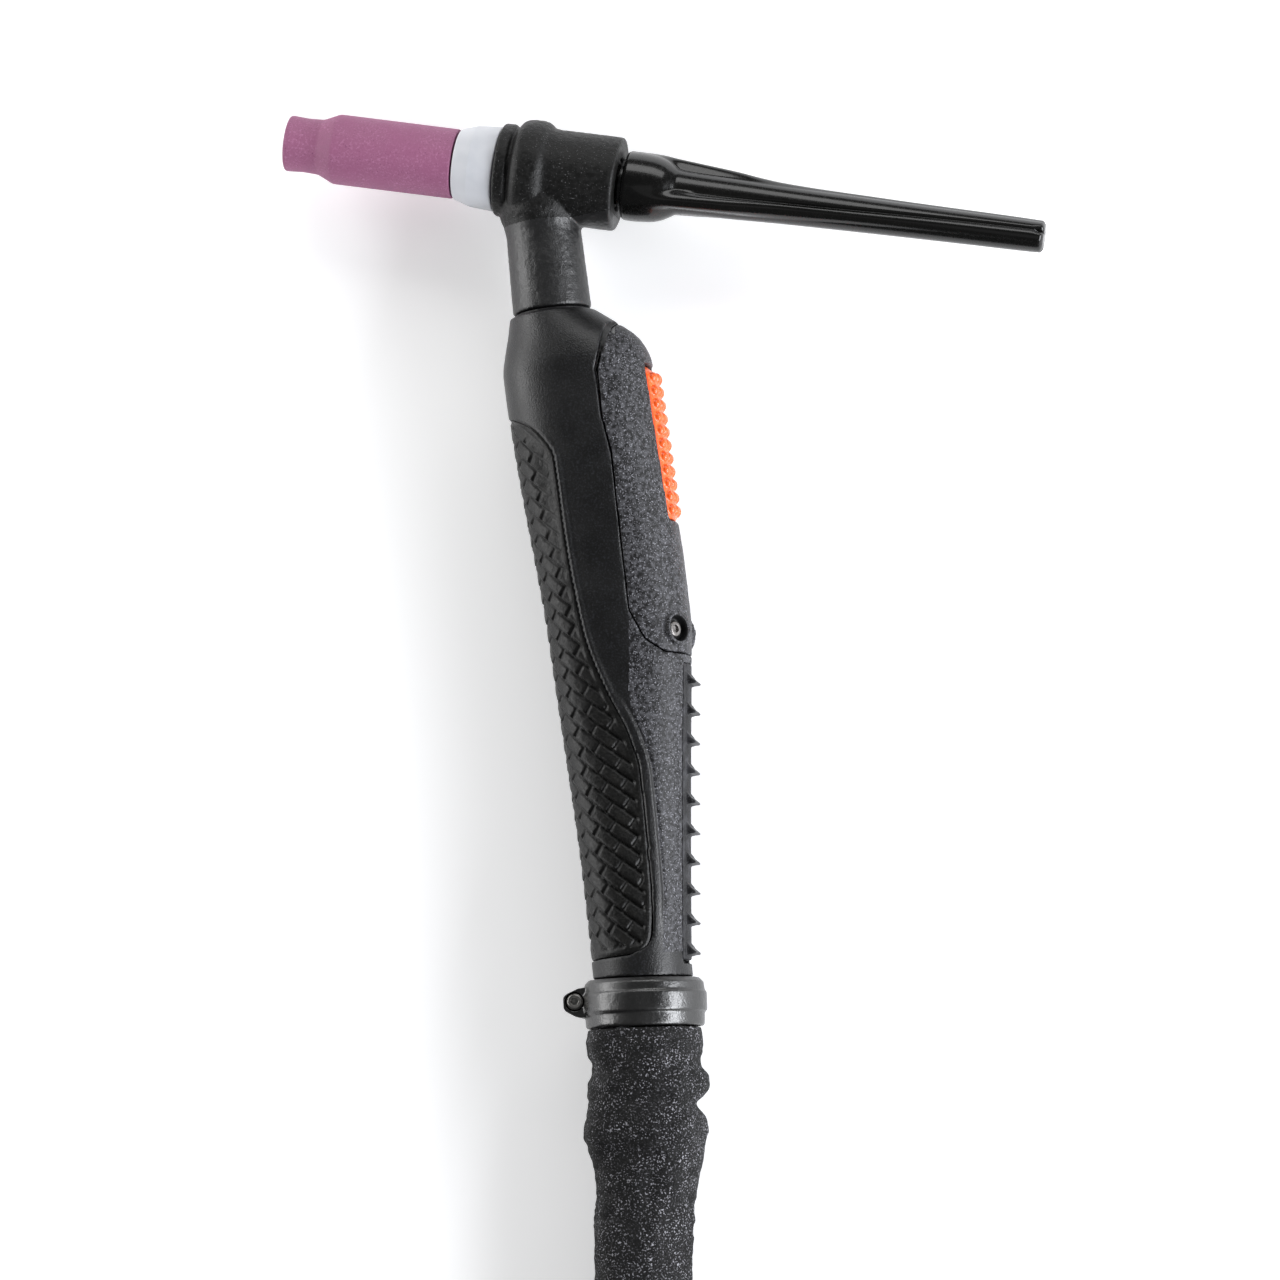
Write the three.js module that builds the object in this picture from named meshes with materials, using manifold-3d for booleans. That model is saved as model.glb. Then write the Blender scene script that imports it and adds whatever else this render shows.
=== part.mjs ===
// A gas-cooled TIG welding torch lying on its side on a table, with its cable wound up beside it.
// Millimetres. The part's origin is on the table under the middle of the torch, +Z is up.
// The torch is drawn in three nested frames:
//   head frame    X runs from the gas nozzle to the back cap, the neck leaves at X = 0
//   handle frame  X runs down the handle, Y points to the trigger side, Z across the two shells
//   collar frame  X runs along the clamp collar, which turns a little further towards the cable
// The cable and what is on it are drawn in the part's own frame.

import * as THREE from "three";
import { mergeVertices } from "three/addons/utils/BufferGeometryUtils.js";
import Module from "manifold-3d";

const wasm = await Module();
wasm.setup();

// ---------------------------------------------------------------- driving dimensions
const GAP = 0.3;                       // clearance left between pieces that touch
const ROUND = 24;                      // sides of a large turned piece
const SMALL = 12;                      // sides of a small turned piece

const HEAD_PLACE = [-35.5, 108.6, 17]; // where the head's axis meets the neck's axis
const HEAD_ANGLE = -75;                // the handle's direction from the nozzle-to-cap axis, degrees
const COLLAR_PLACE = [231.4, 4.3, 0];  // the clamp collar's centre in the handle frame
const COLLAR_ANGLE = -4.5;             // how much further the collar turns

const NOZZLE_FRONT = -71;
const NOZZLE_BACK = -23;
const HEAD_FRONT = -10.4;
const HEAD_BACK = 23.4;
const CAP_END = 142;
const ELECTRODE_RADIUS = 1.2;
const ELECTRODE_LENGTH = 150;
const ELECTRODE_TIP = -65;             // drawn back inside the nozzle
const CORE_RADIUS = 9.6;
const NECK_LENGTH = 39;                // from the head's axis to the handle's rim

const PAD_THICKNESS = 1.8;
const SHELL_WALL = 2;
const HOUSING_WALL = 2.4;
const TRIGGER_HALF_WIDTH = 6.5;
const TRIGGER_SPAN = [57.9, 100.9];
const TRIGGER_PIVOT = [97, 18.2];
const BUMP_COUNT = 11;
const BUMP_PITCH = 3.7;
const FIN_COUNT = 10;
const FIN_PITCH = 8.14;
const SCREW_PLACE = [131.6, 26.1, 9];  // the housing screw on one side, mirrored on the other
const SCREW_TILT = 33;                 // the screw's axis, turned from the mid-plane, degrees

const SHEATH_RADIUS = 13.5;
const COIL_PLACE = [-50, -404];
const COIL_MIDDLE = 148;               // radius of the middle one of the three turns on the table
const TURN_SPACING = 27.8;
const STRAP_THICKNESS = 1.2;
const STRAP_ROOM = 0.8;                // from the strap to the turns inside it
const STRAP_WIDTH = 22;
const STRAP_ANGLES = { a: 345, b: 250 };
const POWER_TAIL_RADIUS = 7;
const CONTROL_TAIL_RADIUS = 3.25;

// The handle's outline: [along, palm side, trigger side, half width, squareness].
const HANDLE = [
  [39.9, -11.9, 11.9, 11.9, 2.0],
  [44, -12.7, 17.2, 13.6, 2.1],
  [50, -14.2, 23.6, 15.6, 2.3],
  [56, -15.3, 25.8, 16.7, 2.4],
  [72, -14.9, 26.6, 17.0, 2.4],
  [92, -13.7, 27.5, 17.0, 2.4],
  [112, -12.1, 28.5, 16.5, 2.4],
  [128, -11.1, 28.6, 15.8, 2.4],
  [140, -10.7, 27.4, 15.4, 2.4],
  [164, -9.8, 24.6, 15.0, 2.3],
  [194, -8.9, 21.2, 14.8, 2.2],
  [222, -8.8, 18.2, 14.8, 2.1],
];

// ---------------------------------------------------------------- finishes
const finish = (color, roughness, metalness = 0) => ({ color, roughness, metalness });
const ALUMINA = finish(0xb0628f, 0.75);
const PTFE = finish(0xd8dade, 0.45);
const MOULDED_BLACK = finish(0x262524, 0.55);
const GLOSS_BLACK = finish(0x0c0b0a, 0.2);
const SMOOTH_GREY = finish(0x2a2b2d, 0.5);
const SPECKLED_GREY = finish(0x48484a, 0.6);
const RUBBER = finish(0x1e1e1d, 0.85);
const ORANGE = finish(0xee5a1c, 0.45);
const COPPER = finish(0xb87050, 0.35, 1);
const BRASS = finish(0xb8934a, 0.35, 1);
const STEEL = finish(0xa8a6a2, 0.35, 1);
const TUNGSTEN = finish(0x6d6e70, 0.4, 1);
const LEATHER = finish(0x1c1b1b, 0.85);
const WEBBING = finish(0x17181b, 0.9);
const SWITCH_BLACK = finish(0x141414, 0.5);

// ---------------------------------------------------------------- solids
const radians = THREE.MathUtils.degToRad;

function signedVolume(positions, index) {
  const corners = [new THREE.Vector3(), new THREE.Vector3(), new THREE.Vector3()];
  let volume = 0;
  for (let i = 0; i < index.length; i += 3) {
    corners.forEach((corner, k) => corner.fromArray(positions, 3 * index[i + k]));
    volume += corners[0].dot(corners[1].cross(corners[2])) / 6;
  }
  return volume;
}

/** A closed geometry as a solid that can be joined and cut, with its faces turned outward. */
function solid(geometry) {
  const bare = geometry.clone();
  bare.deleteAttribute("normal");
  bare.deleteAttribute("uv");
  const welded = mergeVertices(bare, 1e-4);
  const positions = new Float32Array(welded.attributes.position.array);
  const kept = [];
  const source = welded.index.array;
  for (let i = 0; i < source.length; i += 3) {
    const [a, b, c] = source.slice(i, i + 3);
    if (a !== b && b !== c && c !== a) kept.push(a, b, c);
  }
  if (signedVolume(positions, kept) < 0) kept.reverse();
  const triVerts = new Uint32Array(kept);
  return new wasm.Manifold(new wasm.Mesh({ numProp: 3, vertProperties: positions, triVerts }));
}

function geometryOf(manifold) {
  const { vertProperties, triVerts } = manifold.getMesh();
  const geometry = new THREE.BufferGeometry();
  geometry.setAttribute("position", new THREE.BufferAttribute(vertProperties, 3));
  geometry.setIndex(new THREE.BufferAttribute(triVerts, 1));
  geometry.computeVertexNormals();
  return geometry;
}

const join = (first, ...others) => others.reduce((sum, other) => sum.add(solid(other)), solid(first));
/** The biggest piece of a solid that cutting left in several. */
const largest = (body) => body.decompose().reduce((best, one) => (one.volume() > best.volume() ? one : best));
const cut = (body, ...tools) => tools.reduce((rest, tool) => rest.subtract(solid(tool)), body);

function part(name, shape, look) {
  const geometry = geometryOf(shape.isBufferGeometry ? solid(shape) : shape);
  const mesh = new THREE.Mesh(geometry, new THREE.MeshStandardMaterial(look));
  mesh.name = name;
  return mesh;
}

/** A solid of revolution about X from [along, radius] pairs that start and end on the axis. */
function turned(profile, sides = ROUND) {
  const points = profile.map(([along, radius]) => new THREE.Vector2(radius, along));
  return new THREE.LatheGeometry(points, sides).rotateZ(-Math.PI / 2);
}

/** A turned ring: the profile closes on itself. */
const turnedRing = (profile, sides = ROUND) => turned([...profile, profile[0]], sides);

const rod = ([from, to], radius, sides = ROUND) =>
  turned([[from, 0], [from, radius], [to, radius], [to, 0]], sides);

const pipe = ([from, to], outer, inner, sides = ROUND) =>
  turnedRing([[from, inner], [from, outer], [to, outer], [to, inner]], sides);

function block([x0, x1], [y0, y1], [z0, z1]) {
  const box = new THREE.BoxGeometry(x1 - x0, y1 - y0, z1 - z0);
  return box.translate((x0 + x1) / 2, (y0 + y1) / 2, (z0 + z1) / 2);
}

/** An outline in the XY plane, made thick in Z on both sides of it. */
function slab(outline, halfWidth) {
  const isShape = outline instanceof THREE.Shape;
  const shape = isShape ? outline : new THREE.Shape(outline.map(([x, y]) => new THREE.Vector2(x, y)));
  const options = { depth: 2 * halfWidth, bevelEnabled: false, curveSegments: 6 };
  return new THREE.ExtrudeGeometry(shape, options).translate(0, 0, -halfWidth);
}

/** A round tube along a smooth curve through the points. */
function tube(points, radius, steps, sides) {
  const ring = new THREE.Shape();
  for (let i = 0; i < sides; i++) {
    const turn = (2 * Math.PI * i) / sides;
    const [x, y] = [radius * Math.cos(turn), radius * Math.sin(turn)];
    if (i === 0) ring.moveTo(x, y);
    else ring.lineTo(x, y);
  }
  const path = new THREE.CatmullRomCurve3(points.map((point) => new THREE.Vector3(...point)));
  return new THREE.ExtrudeGeometry(ring, { steps, bevelEnabled: false, extrudePath: path });
}

/** A skin over cross-sections that all have the same number of points. */
function loft(sections) {
  const count = sections[0].length;
  const last = (sections.length - 1) * count;
  const index = [];
  for (let start = 0; start < last; start += count) {
    for (let j = 0; j < count; j++) {
      const a = start + j;
      const b = start + ((j + 1) % count);
      index.push(a, b, a + count, b, b + count, a + count);
    }
  }
  for (let j = 1; j + 1 < count; j++) {
    index.push(0, j + 1, j, last, last + j, last + j + 1);
  }
  const geometry = new THREE.BufferGeometry();
  geometry.setAttribute("position", new THREE.Float32BufferAttribute(sections.flat(2), 3));
  return geometry.setIndex(index);
}

// ---------------------------------------------------------------- head and back cap
function gasNozzle() {
  return part("gas_nozzle", turnedRing([
    [NOZZLE_FRONT, 5.5], [NOZZLE_FRONT, 7.4], [NOZZLE_FRONT + 0.5, 7.7], [-66, 7.4], [-61, 7.7],
    [-57, 9.7], [NOZZLE_BACK, 9.7], [NOZZLE_BACK, 6.9], [-52, 6.9], [-58, 5.5],
  ]), ALUMINA);
}

function insulatorRing() {
  const back = HEAD_FRONT - GAP;
  return part("insulator_ring", turnedRing([
    [-22.5, 6.8], [-22.5, 9.6], [-22.2, 9.9], [-17.8, 11.3], [back, 11.8], [back, 6.8],
  ]), PTFE);
}

function colletBody() {
  const body = solid(turnedRing([
    [-36, 1.6], [-36, 3.4], [-33.5, 4.8], [-26, 4.8], [-26, 6.4], [-13, 6.4], [-13, 4.6],
    [2.5, 4.6], [2.5, 2.6], [-33, 2.6], [-34.5, 1.6],
  ], SMALL));
  const holes = [0, 90].map((turn) =>
    rod([-8, 8], 0.9, 8).rotateY(Math.PI / 2).rotateX(radians(turn)).translate(-29.5, 0, 0));
  return part("collet_body", cut(body, ...holes), BRASS);
}

function collet() {
  const sleeve = solid(pipe([-32.7, 8.7], 2.3, ELECTRODE_RADIUS + GAP, SMALL));
  const slots = [block([-33, -14], [-0.3, 0.3], [-3, 3]), block([-33, -14], [-3, 3], [-0.3, 0.3])];
  return part("collet", cut(sleeve, ...slots), COPPER);
}

function electrode() {
  return part("tungsten_electrode", turned([
    [ELECTRODE_TIP, 0], [ELECTRODE_TIP + 0.1, 0.2], [ELECTRODE_TIP + 7, ELECTRODE_RADIUS],
    [ELECTRODE_TIP + ELECTRODE_LENGTH, ELECTRODE_RADIUS], [ELECTRODE_TIP + ELECTRODE_LENGTH, 0],
  ], 12), TUNGSTEN);
}

/** The copper body that the collet body and the back cap screw into, with a stub down the neck. */
function headCore() {
  const [front, back] = [HEAD_FRONT + GAP, 20];
  const stub = rod([5, 30], 6.6, 24).rotateZ(radians(HEAD_ANGLE));
  const stubBore = rod([4, 31], 3.5, SMALL).rotateZ(radians(HEAD_ANGLE));
  const body = join(rod([front, back], CORE_RADIUS), stub);
  return part("head_core", cut(body, rod([front - 1, 4], 4.9, 24), rod([3, back + 1], 7.2, 24), stubBore), COPPER);
}

/** The moulded insulating cover of the head and neck; its lower end plugs into the handle. */
function headCover() {
  const barrel = turned([
    [HEAD_FRONT, 0], [HEAD_FRONT, 12.6], [-10, 12.95], [-6.9, 12.95], [-6.6, 12.1], [-5.7, 12.1],
    [-5.2, 13.7], [-3.4, 14.5], [0, 14.7], [2.2, 14.3], [3.2, 13], [22.9, 13],
    [HEAD_BACK, 12.5], [HEAD_BACK, 0],
  ]);
  const neck = turned([[0, 0], [0, 10.2], [NECK_LENGTH, 10.9], [NECK_LENGTH, 9], [52, 9], [52, 0]]);
  neck.rotateZ(radians(HEAD_ANGLE));
  const bore = rod([HEAD_FRONT - 1, 20.3], CORE_RADIUS + GAP);
  const capMouth = rod([19, HEAD_BACK + 1], 7.5, 24);
  const neckBore = rod([4, 53], 6.9, 24).rotateZ(radians(HEAD_ANGLE));
  return part("head_cover", cut(join(barrel, neck), bore, capMouth, neckBore), MOULDED_BLACK);
}

function capSeal() {
  const seal = [];
  for (let i = 0; i < 6; i++) {
    const turn = (2 * Math.PI * i) / 6;
    seal.push([22 + 0.75 * Math.cos(turn), 6.4 + 0.6 * Math.sin(turn)]);
  }
  return part("cap_o_ring", turnedRing(seal, 18), RUBBER);
}

/** The long back cap: a turned shell that takes the electrode's tail, with three tapering ribs. */
function backCap() {
  const shell = turned([
    [CAP_END, 0], [CAP_END, 3.7], [CAP_END - 0.6, 4.2], [106, 4.3], [79, 4.6], [60, 5.1],
    [46, 5.8], [40, 6.8], [36.5, 8.6], [34, 9.5], [31, 9.7], [26, 9.65], [25.2, 9.1], [25, 6.7],
    [23.9, 6.7], [23.9, 5.5], [9, 5.5], [9, 1.9], [137, 1.9], [137, 0],
  ], 18);
  const rib = [
    [30, 3], [30, 9.5], [39, 9.05], [46, 8.4], [56, 7.45], [62.5, 6.6], [69, 5.95], [79, 5.55],
    [106, 5], [CAP_END - 1, 4.6], [CAP_END, 3.7], [CAP_END, 3],
  ];
  const ribs = [0, 120, 240].map((turn) => slab(rib, 1.8).rotateX(radians(turn)));
  return part("back_cap", ribs.reduce((sum, one) => sum.add(solid(one)), solid(shell)), GLOSS_BLACK);
}

// ---------------------------------------------------------------- handle shape
/** A value of the handle's outline at a place along it, smoothly between the stations. */
function outlineAt(along, column) {
  let i = 1;
  while (i < HANDLE.length - 1 && HANDLE[i][0] < along) i++;
  const [before, after] = [HANDLE[i - 1], HANDLE[i]];
  return THREE.MathUtils.mapLinear(along, before[0], after[0], before[column], after[column]);
}

/** The handle's cross-section at one place, drawn in by an inset. */
function crossSection(along, inset, count = 18) {
  const [palm, front] = [outlineAt(along, 1) + inset, outlineAt(along, 2) - inset];
  const halfWidth = outlineAt(along, 3) - inset;
  const power = 2 / outlineAt(along, 4);
  const points = [];
  for (let i = 0; i < count; i++) {
    const turn = (2 * Math.PI * (i + 0.5)) / count;
    const [c, s] = [Math.cos(turn), Math.sin(turn)];
    const y = (front + palm) / 2 + ((front - palm) / 2) * Math.sign(c) * Math.abs(c) ** power;
    points.push([along, y, halfWidth * Math.sign(s) * Math.abs(s) ** power]);
  }
  return points;
}

const handleBody = (inset) => loft(HANDLE.map(([along]) => crossSection(along, inset)));

/** The space inside the shells or the switch housing. */
function handleSpace(inset) {
  const [first, last] = [53, 215];
  const between = HANDLE.map(([along]) => along).filter((along) => along > first && along < last);
  return loft([first, ...between, last].map((along) => crossSection(along, inset)));
}

/** Side view of the rubber pad's edge, from the palm above the grip down to the collar. */
function padZone() {
  const shape = new THREE.Shape([new THREE.Vector2(66, -20), new THREE.Vector2(69, -13)]);
  const edge = [[74, -6], [82, -1.6], [105, -1], [130, 1], [146, 5.2], [160, 10.4], [170, 12.2],
    [200, 11.6], [217, 9.6]];
  shape.splineThru(edge.map(([x, y]) => new THREE.Vector2(x, y)));
  shape.lineTo(219, 7);
  shape.lineTo(219, -20);
  return slab(shape, 25);
}

/** Side view of the switch housing: angular where it meets the shells. */
const housingZone = () => slab([
  [42, 30], [43, 21], [45.8, 15.9], [59.2, 10.2], [71.6, 12.2], [82.2, 13.7], [125.8, 13.7],
  [134, 17], [138, 22], [139.5, 34],
], 25);

const stripZone = (grow) => block([141 - grow, 221 + grow], [8, 34], [-6 - grow, 6 + grow]);

/** The same tool moved a little each way along the handle and towards the palm or the trigger. */
const loosened = (tool, towards) =>
  [[GAP, 0], [-GAP, 0], [0, towards * GAP]].map(([x, y]) => tool().translate(x, y, 0));

function handleShells() {
  const inner = PAD_THICKNESS + GAP + SHELL_WALL;
  const padBed = loosened(padZone, 1).map((tool) => solid(tool).subtract(solid(handleBody(PAD_THICKNESS + GAP))));
  const stripBed = solid(stripZone(GAP)).subtract(solid(handleBody(PAD_THICKNESS + GAP)));
  const spigot = rod([218, 236], 11.6, 24).translate(0, 4.7, 0);
  let body = join(handleBody(0), spigot);
  body = cut(body, handleSpace(inner), ...loosened(housingZone, -1));
  body = [...padBed, stripBed].reduce((rest, bed) => rest.subtract(bed), body);
  body = cut(body, rod([38, 56], 10.6, 24), rod([210, 237], 10, 24).translate(0, 4.7, 0));
  const left = body.subtract(solid(block([0, 260], [-40, 40], [-40, GAP / 2])));
  const right = body.subtract(solid(block([0, 260], [-40, 40], [-GAP / 2, 40])));
  return [part("handle_shell_left", left, SMOOTH_GREY), part("handle_shell_right", right, SMOOTH_GREY)];
}

function gripPad() {
  const pad = solid(handleBody(0)).intersect(solid(padZone()));
  return part("grip_pad", cut(pad, handleBody(PAD_THICKNESS)), RUBBER);
}

/** The strip down the front of the handle, with a row of wedge fins whose lower sides are flat. */
function ribStrip() {
  let strip = solid(handleBody(0)).intersect(solid(stripZone(0)));
  strip = cut(strip, handleBody(PAD_THICKNESS));
  for (let i = 0; i < FIN_COUNT; i++) {
    const along = 146 + i * FIN_PITCH;
    const base = outlineAt(along, 2);
    const fin = slab([[along - 2.2, base - 1], [along - 2, base - 0.2], [along, base + 1.9],
      [along + 0.4, base + 1.9], [along + 0.4, base - 1]], 5);
    strip = strip.add(solid(fin));
  }
  return part("rib_strip", strip, RUBBER);
}

// ---------------------------------------------------------------- switch housing and trigger
/** A piece drawn along X is set on the housing screw's axis on one side: +1 left, -1 right. */
function onScrewAxis(geometry, side) {
  const [along, y, z] = SCREW_PLACE;
  return geometry.rotateZ(Math.PI / 2).rotateX(side * radians(SCREW_TILT)).translate(along, y, side * z);
}

function switchHousing() {
  const outside = solid(handleBody(0)).intersect(solid(housingZone()));
  const bosses = [1, -1].map((side) => onScrewAxis(rod([-9, 2], 4.6, 12), side));
  let housing = cut(outside, handleSpace(HOUSING_WALL), block([40, 56], [-12, 18], [-11.2, 11.2]));
  for (const boss of bosses) housing = housing.add(solid(boss).intersect(outside));
  const [from, to] = TRIGGER_SPAN;
  const slot = block([from - 0.5, to + 0.5], [10, 34], [-TRIGGER_HALF_WIDTH - 0.4, TRIGGER_HALF_WIDTH + 0.4]);
  const recesses = [1, -1].map((side) => onScrewAxis(rod([-2.4, 6], 3.5, 12), side));
  const holes = [1, -1].map((side) => onScrewAxis(rod([-12, 0], 1.7, 8), side));
  return part("switch_housing", cut(housing, slot, ...recesses, ...holes), SPECKLED_GREY);
}

function housingScrew(name, side) {
  const shape = onScrewAxis(turned([[-9, 0], [-9, 1.3], [-2.1, 1.3], [-2.1, 3], [-0.7, 3], [-0.3, 2.6],
    [-0.3, 0]], 12), side);
  const socket = onScrewAxis(rod([-1.5, 1], 1.5, 6), side);
  return part(name, cut(solid(shape), socket), STEEL);
}

function trigger() {
  const [from, to] = TRIGGER_SPAN;
  const outline = [[from, 19.4], [from, 23.5], [from + 1.2, 26.3]];
  for (let i = 0; i < BUMP_COUNT; i++) {
    const along = from + 1.9 + i * BUMP_PITCH;
    const face = THREE.MathUtils.mapLinear(along, from, to, 27.1, 28.4);
    outline.push([along, face], [along + 0.9, face + 0.9], [along + 2.6, face + 0.9]);
  }
  outline.push([to, 27.8], [to, 21], [to - 1, 19.4]);
  const [pivotX, pivotY] = TRIGGER_PIVOT;
  const lug = slab([[pivotX - 3.5, 19.8], [pivotX - 2.5, 16], [pivotX + 2.5, 16], [pivotX + 3.3, 19.8]], 5);
  const hole = new THREE.CylinderGeometry(1.3, 1.3, 20, 12).rotateX(Math.PI / 2).translate(pivotX, pivotY, 0);
  return part("trigger", cut(join(slab(outline, TRIGGER_HALF_WIDTH), lug), hole), ORANGE);
}

/** The internal frame that holds the switch and, in its two ears, the trigger's pin. */
function switchCarrier() {
  const [pivotX, pivotY] = TRIGGER_PIVOT;
  const ears = [[-9.2, -7.2], [7.2, 9.2]].map((z) => block([pivotX - 5, pivotX + 4], [9, 21], z));
  const hole = new THREE.CylinderGeometry(1.3, 1.3, 20, 12).rotateX(Math.PI / 2).translate(pivotX, pivotY, 0);
  return part("switch_carrier", cut(join(block([62, 112], [8.2, 10], [-9.2, 9.2]), ...ears), hole), SWITCH_BLACK);
}

function switchParts() {
  const [pivotX, pivotY] = TRIGGER_PIVOT;
  const pin = new THREE.CylinderGeometry(1, 1, 18.4, 12).rotateX(Math.PI / 2).translate(pivotX, pivotY, 0);
  const leaf = block([-13, 0.4], [0, 0.5], [-2.4, 2.4]).rotateZ(radians(-8)).translate(82.5, 16.7, 0);
  return [
    part("trigger_pin", pin, STEEL),
    part("microswitch_body", block([70, 83.4], [10 + GAP, 16.3], [-3.2, 3.2]), SWITCH_BLACK),
    part("microswitch_lever", leaf, STEEL),
  ];
}

// ---------------------------------------------------------------- inside the neck and handle
function powerCoupling() {
  const hex = rod([62 + GAP, 72], 7.4, 6);
  return part("power_coupling", join(hex, rod([71, 80], 5.8, SMALL)), BRASS);
}

function innerLines() {
  const power = tube([[80 + GAP, 0, 0], [110, 0.2, 0], [160, 1.8, 0], [205, 3.4, 0], [237, 4.2, 0]], 4.5, 12, 8);
  const control = tube([[84 + GAP, 12, 0], [110, 12, 0], [150, 11.4, 0], [200, 11.4, 0], [237, 11.6, 0]], 1.8, 12, 8);
  return [
    part("neck_tube", pipe([30 + GAP, 62], 5.5, 3.5, SMALL), COPPER),
    part("neck_bush", pipe([NECK_LENGTH + GAP, 51.5], 10.3, 9.3, 24), RUBBER),
    powerCoupling(),
    part("power_cable_core", power, RUBBER),
    part("control_cable_core", control, RUBBER),
  ];
}

// ---------------------------------------------------------------- clamp collar
const CLAMP_AXIS = [-0.9, -18.3];      // the clamp screw in the collar frame, along Z

/** A piece drawn along X is set upright on the clamp screw's axis. */
const onClampAxis = (geometry) => geometry.rotateY(-Math.PI / 2).translate(...CLAMP_AXIS, 0);

/** A split clamp ring in three bands with an ear on the palm side. */
function cableCollar() {
  const ring = turned([
    [-6.6, 0], [-6.6, 15], [-5.4, 16.2], [-2.9, 16.5], [-2.6, 17], [2.5, 17], [2.8, 16.4],
    [6, 16.2], [6.6, 15.8], [6.6, 0],
  ]);
  const ear = slab([[-4.6, -12], [-4.6, -17], [-2.6, -21.5], [1.4, -21.5], [3.6, -17.5], [3.6, -12]], 6.5);
  return part("cable_collar", cut(
    join(ring, ear),
    rod([-8, 8], 13.2),
    block([-8, 8], [-24, -10], [-0.7, 0.7]),
    onClampAxis(rod([-8, 8], 1.9, 12)),
    onClampAxis(rod([4.6, 9], 2.6, 12)),
    onClampAxis(rod([-9, -4], 3.5, 6)),
  ), MOULDED_BLACK);
}

function clampFasteners() {
  const screw = cut(
    solid(onClampAxis(turned([
      [-6.4, 0], [-6.4, 1.5], [4.9, 1.5], [4.9, 2.3], [6.1, 2.3], [6.6, 1.8], [6.6, 0],
    ], 12))),
    onClampAxis(rod([5.2, 8], 1.1, 6)),
  );
  const nut = cut(solid(onClampAxis(rod([-6.4, -4.3], 3.1, 6))), onClampAxis(rod([-8, -3], 1.8, 12)));
  return [part("clamp_screw", screw, STEEL), part("clamp_nut", nut, STEEL)];
}

// ---------------------------------------------------------------- cable
const TURN_HEIGHT = SHEATH_RADIUS + STRAP_ROOM + STRAP_THICKNESS;
const TOP_RISE = Math.sqrt(TURN_SPACING ** 2 - (TURN_SPACING / 2) ** 2);

/** Where a turn lies in [radius, height]; rows count from the table up. */
const TURNS = {
  outer: [COIL_MIDDLE + TURN_SPACING, TURN_HEIGHT],
  middle: [COIL_MIDDLE, TURN_HEIGHT],
  inner: [COIL_MIDDLE - TURN_SPACING, TURN_HEIGHT],
  top: [COIL_MIDDLE + TURN_SPACING / 2, TURN_HEIGHT + TOP_RISE],
};

/** The line drawn tight around turns that are named counter-clockwise from the lowest outer one. */
function wrapped(names, offset) {
  const shape = new THREE.Shape();
  const facing = (i) => {
    const [from, to] = [TURNS[names[i]], TURNS[names[(i + 1) % names.length]]];
    const angle = Math.atan2(to[1] - from[1], to[0] - from[0]) - Math.PI / 2;
    return angle < -Math.PI / 2 - 1e-6 ? angle + 2 * Math.PI : angle;
  };
  names.forEach((name, i) => {
    const start = i === 0 ? -Math.PI / 2 : facing(i - 1);
    const end = i === names.length - 1 ? 1.5 * Math.PI : facing(i);
    shape.absarc(...TURNS[name], offset, start, end);
  });
  return shape;
}

const WOUND = ["outer", "top", "middle"];          // the turns in the coil
const STRAPPED = ["outer", "top", "inner"];        // with the last turn, inside them

/** A ring of the outline of some turns, standing around the coil's middle. */
function coilSolid(names, offset) {
  const outline = wrapped(names, offset).getPoints(2);
  const closed = outline[0].distanceTo(outline.at(-1)) < 1e-6 ? outline : [...outline, outline[0]];
  return new THREE.LatheGeometry(closed, 36).rotateX(Math.PI / 2).translate(...COIL_PLACE, 0);
}

/** The part of the sheath between the collar and the coil, lying on the table. */
const SHEATH_ROUTE = [
  [29.85, -120.7, 17], [31.8, -131.2, 16.9], [33.5, -142, 16], [34.9, -153, 14.8], [36.2, -165, 14],
  [37.2, -178, 13.8], [39.3, -191, 13.8], [42.1, -205, 13.8], [45.6, -219, 13.8], [50, -233, 13.8],
  [55.6, -247, 14], [62.6, -261, 14.4], [71.4, -275.5, 14.8], [84.4, -291.2, 15],
];

/** A place on the coil's round: the angle in degrees from +X, the turn's radius and height. */
function onRound(angle, radius, height) {
  const turn = radians(angle);
  return [COIL_PLACE[0] + radius * Math.cos(turn), COIL_PLACE[1] + radius * Math.sin(turn), height];
}

/** The sheath's last turn: it steps down off the top turn over the middle one, then lies inside. */
function lastTurn() {
  const points = [];
  for (const share of [0.2, 0.4, 0.6, 0.8]) {
    const step = radians(60 + 120 * THREE.MathUtils.smoothstep(share, 0, 1));
    const radius = COIL_MIDDLE + TURN_SPACING * Math.cos(step);
    points.push(onRound(225 - 80 * share, radius, TURN_HEIGHT + TURN_SPACING * Math.sin(step)));
  }
  for (let angle = 145; angle >= -155; angle -= 15) points.push(onRound(angle, ...TURNS.inner));
  return points;
}

function sheath() {
  const clear = coilSolid(WOUND, SHEATH_RADIUS + GAP);
  const run = largest(cut(solid(tube(SHEATH_ROUTE, SHEATH_RADIUS, 14, 10)), clear));
  const end = largest(cut(solid(tube(lastTurn(), SHEATH_RADIUS, 38, 10)), clear));
  return [
    part("sheath_run", run, LEATHER),
    part("sheath_coil", coilSolid(WOUND, SHEATH_RADIUS), LEATHER),
    part("sheath_last_turn", end, LEATHER),
  ];
}

/** A hook-and-loop band that follows the coil all round its section. */
function coilStrap(name, angle) {
  const reach = block([80, 220], [-STRAP_WIDTH / 2, STRAP_WIDTH / 2], [-1, 80]);
  const window = reach.rotateZ(radians(angle)).translate(...COIL_PLACE, 0);
  const room = SHEATH_RADIUS + STRAP_ROOM;
  const band = solid(coilSolid(STRAPPED, room + STRAP_THICKNESS)).intersect(solid(window));
  return part(name, cut(band, coilSolid(STRAPPED, room)), WEBBING);
}

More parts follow.
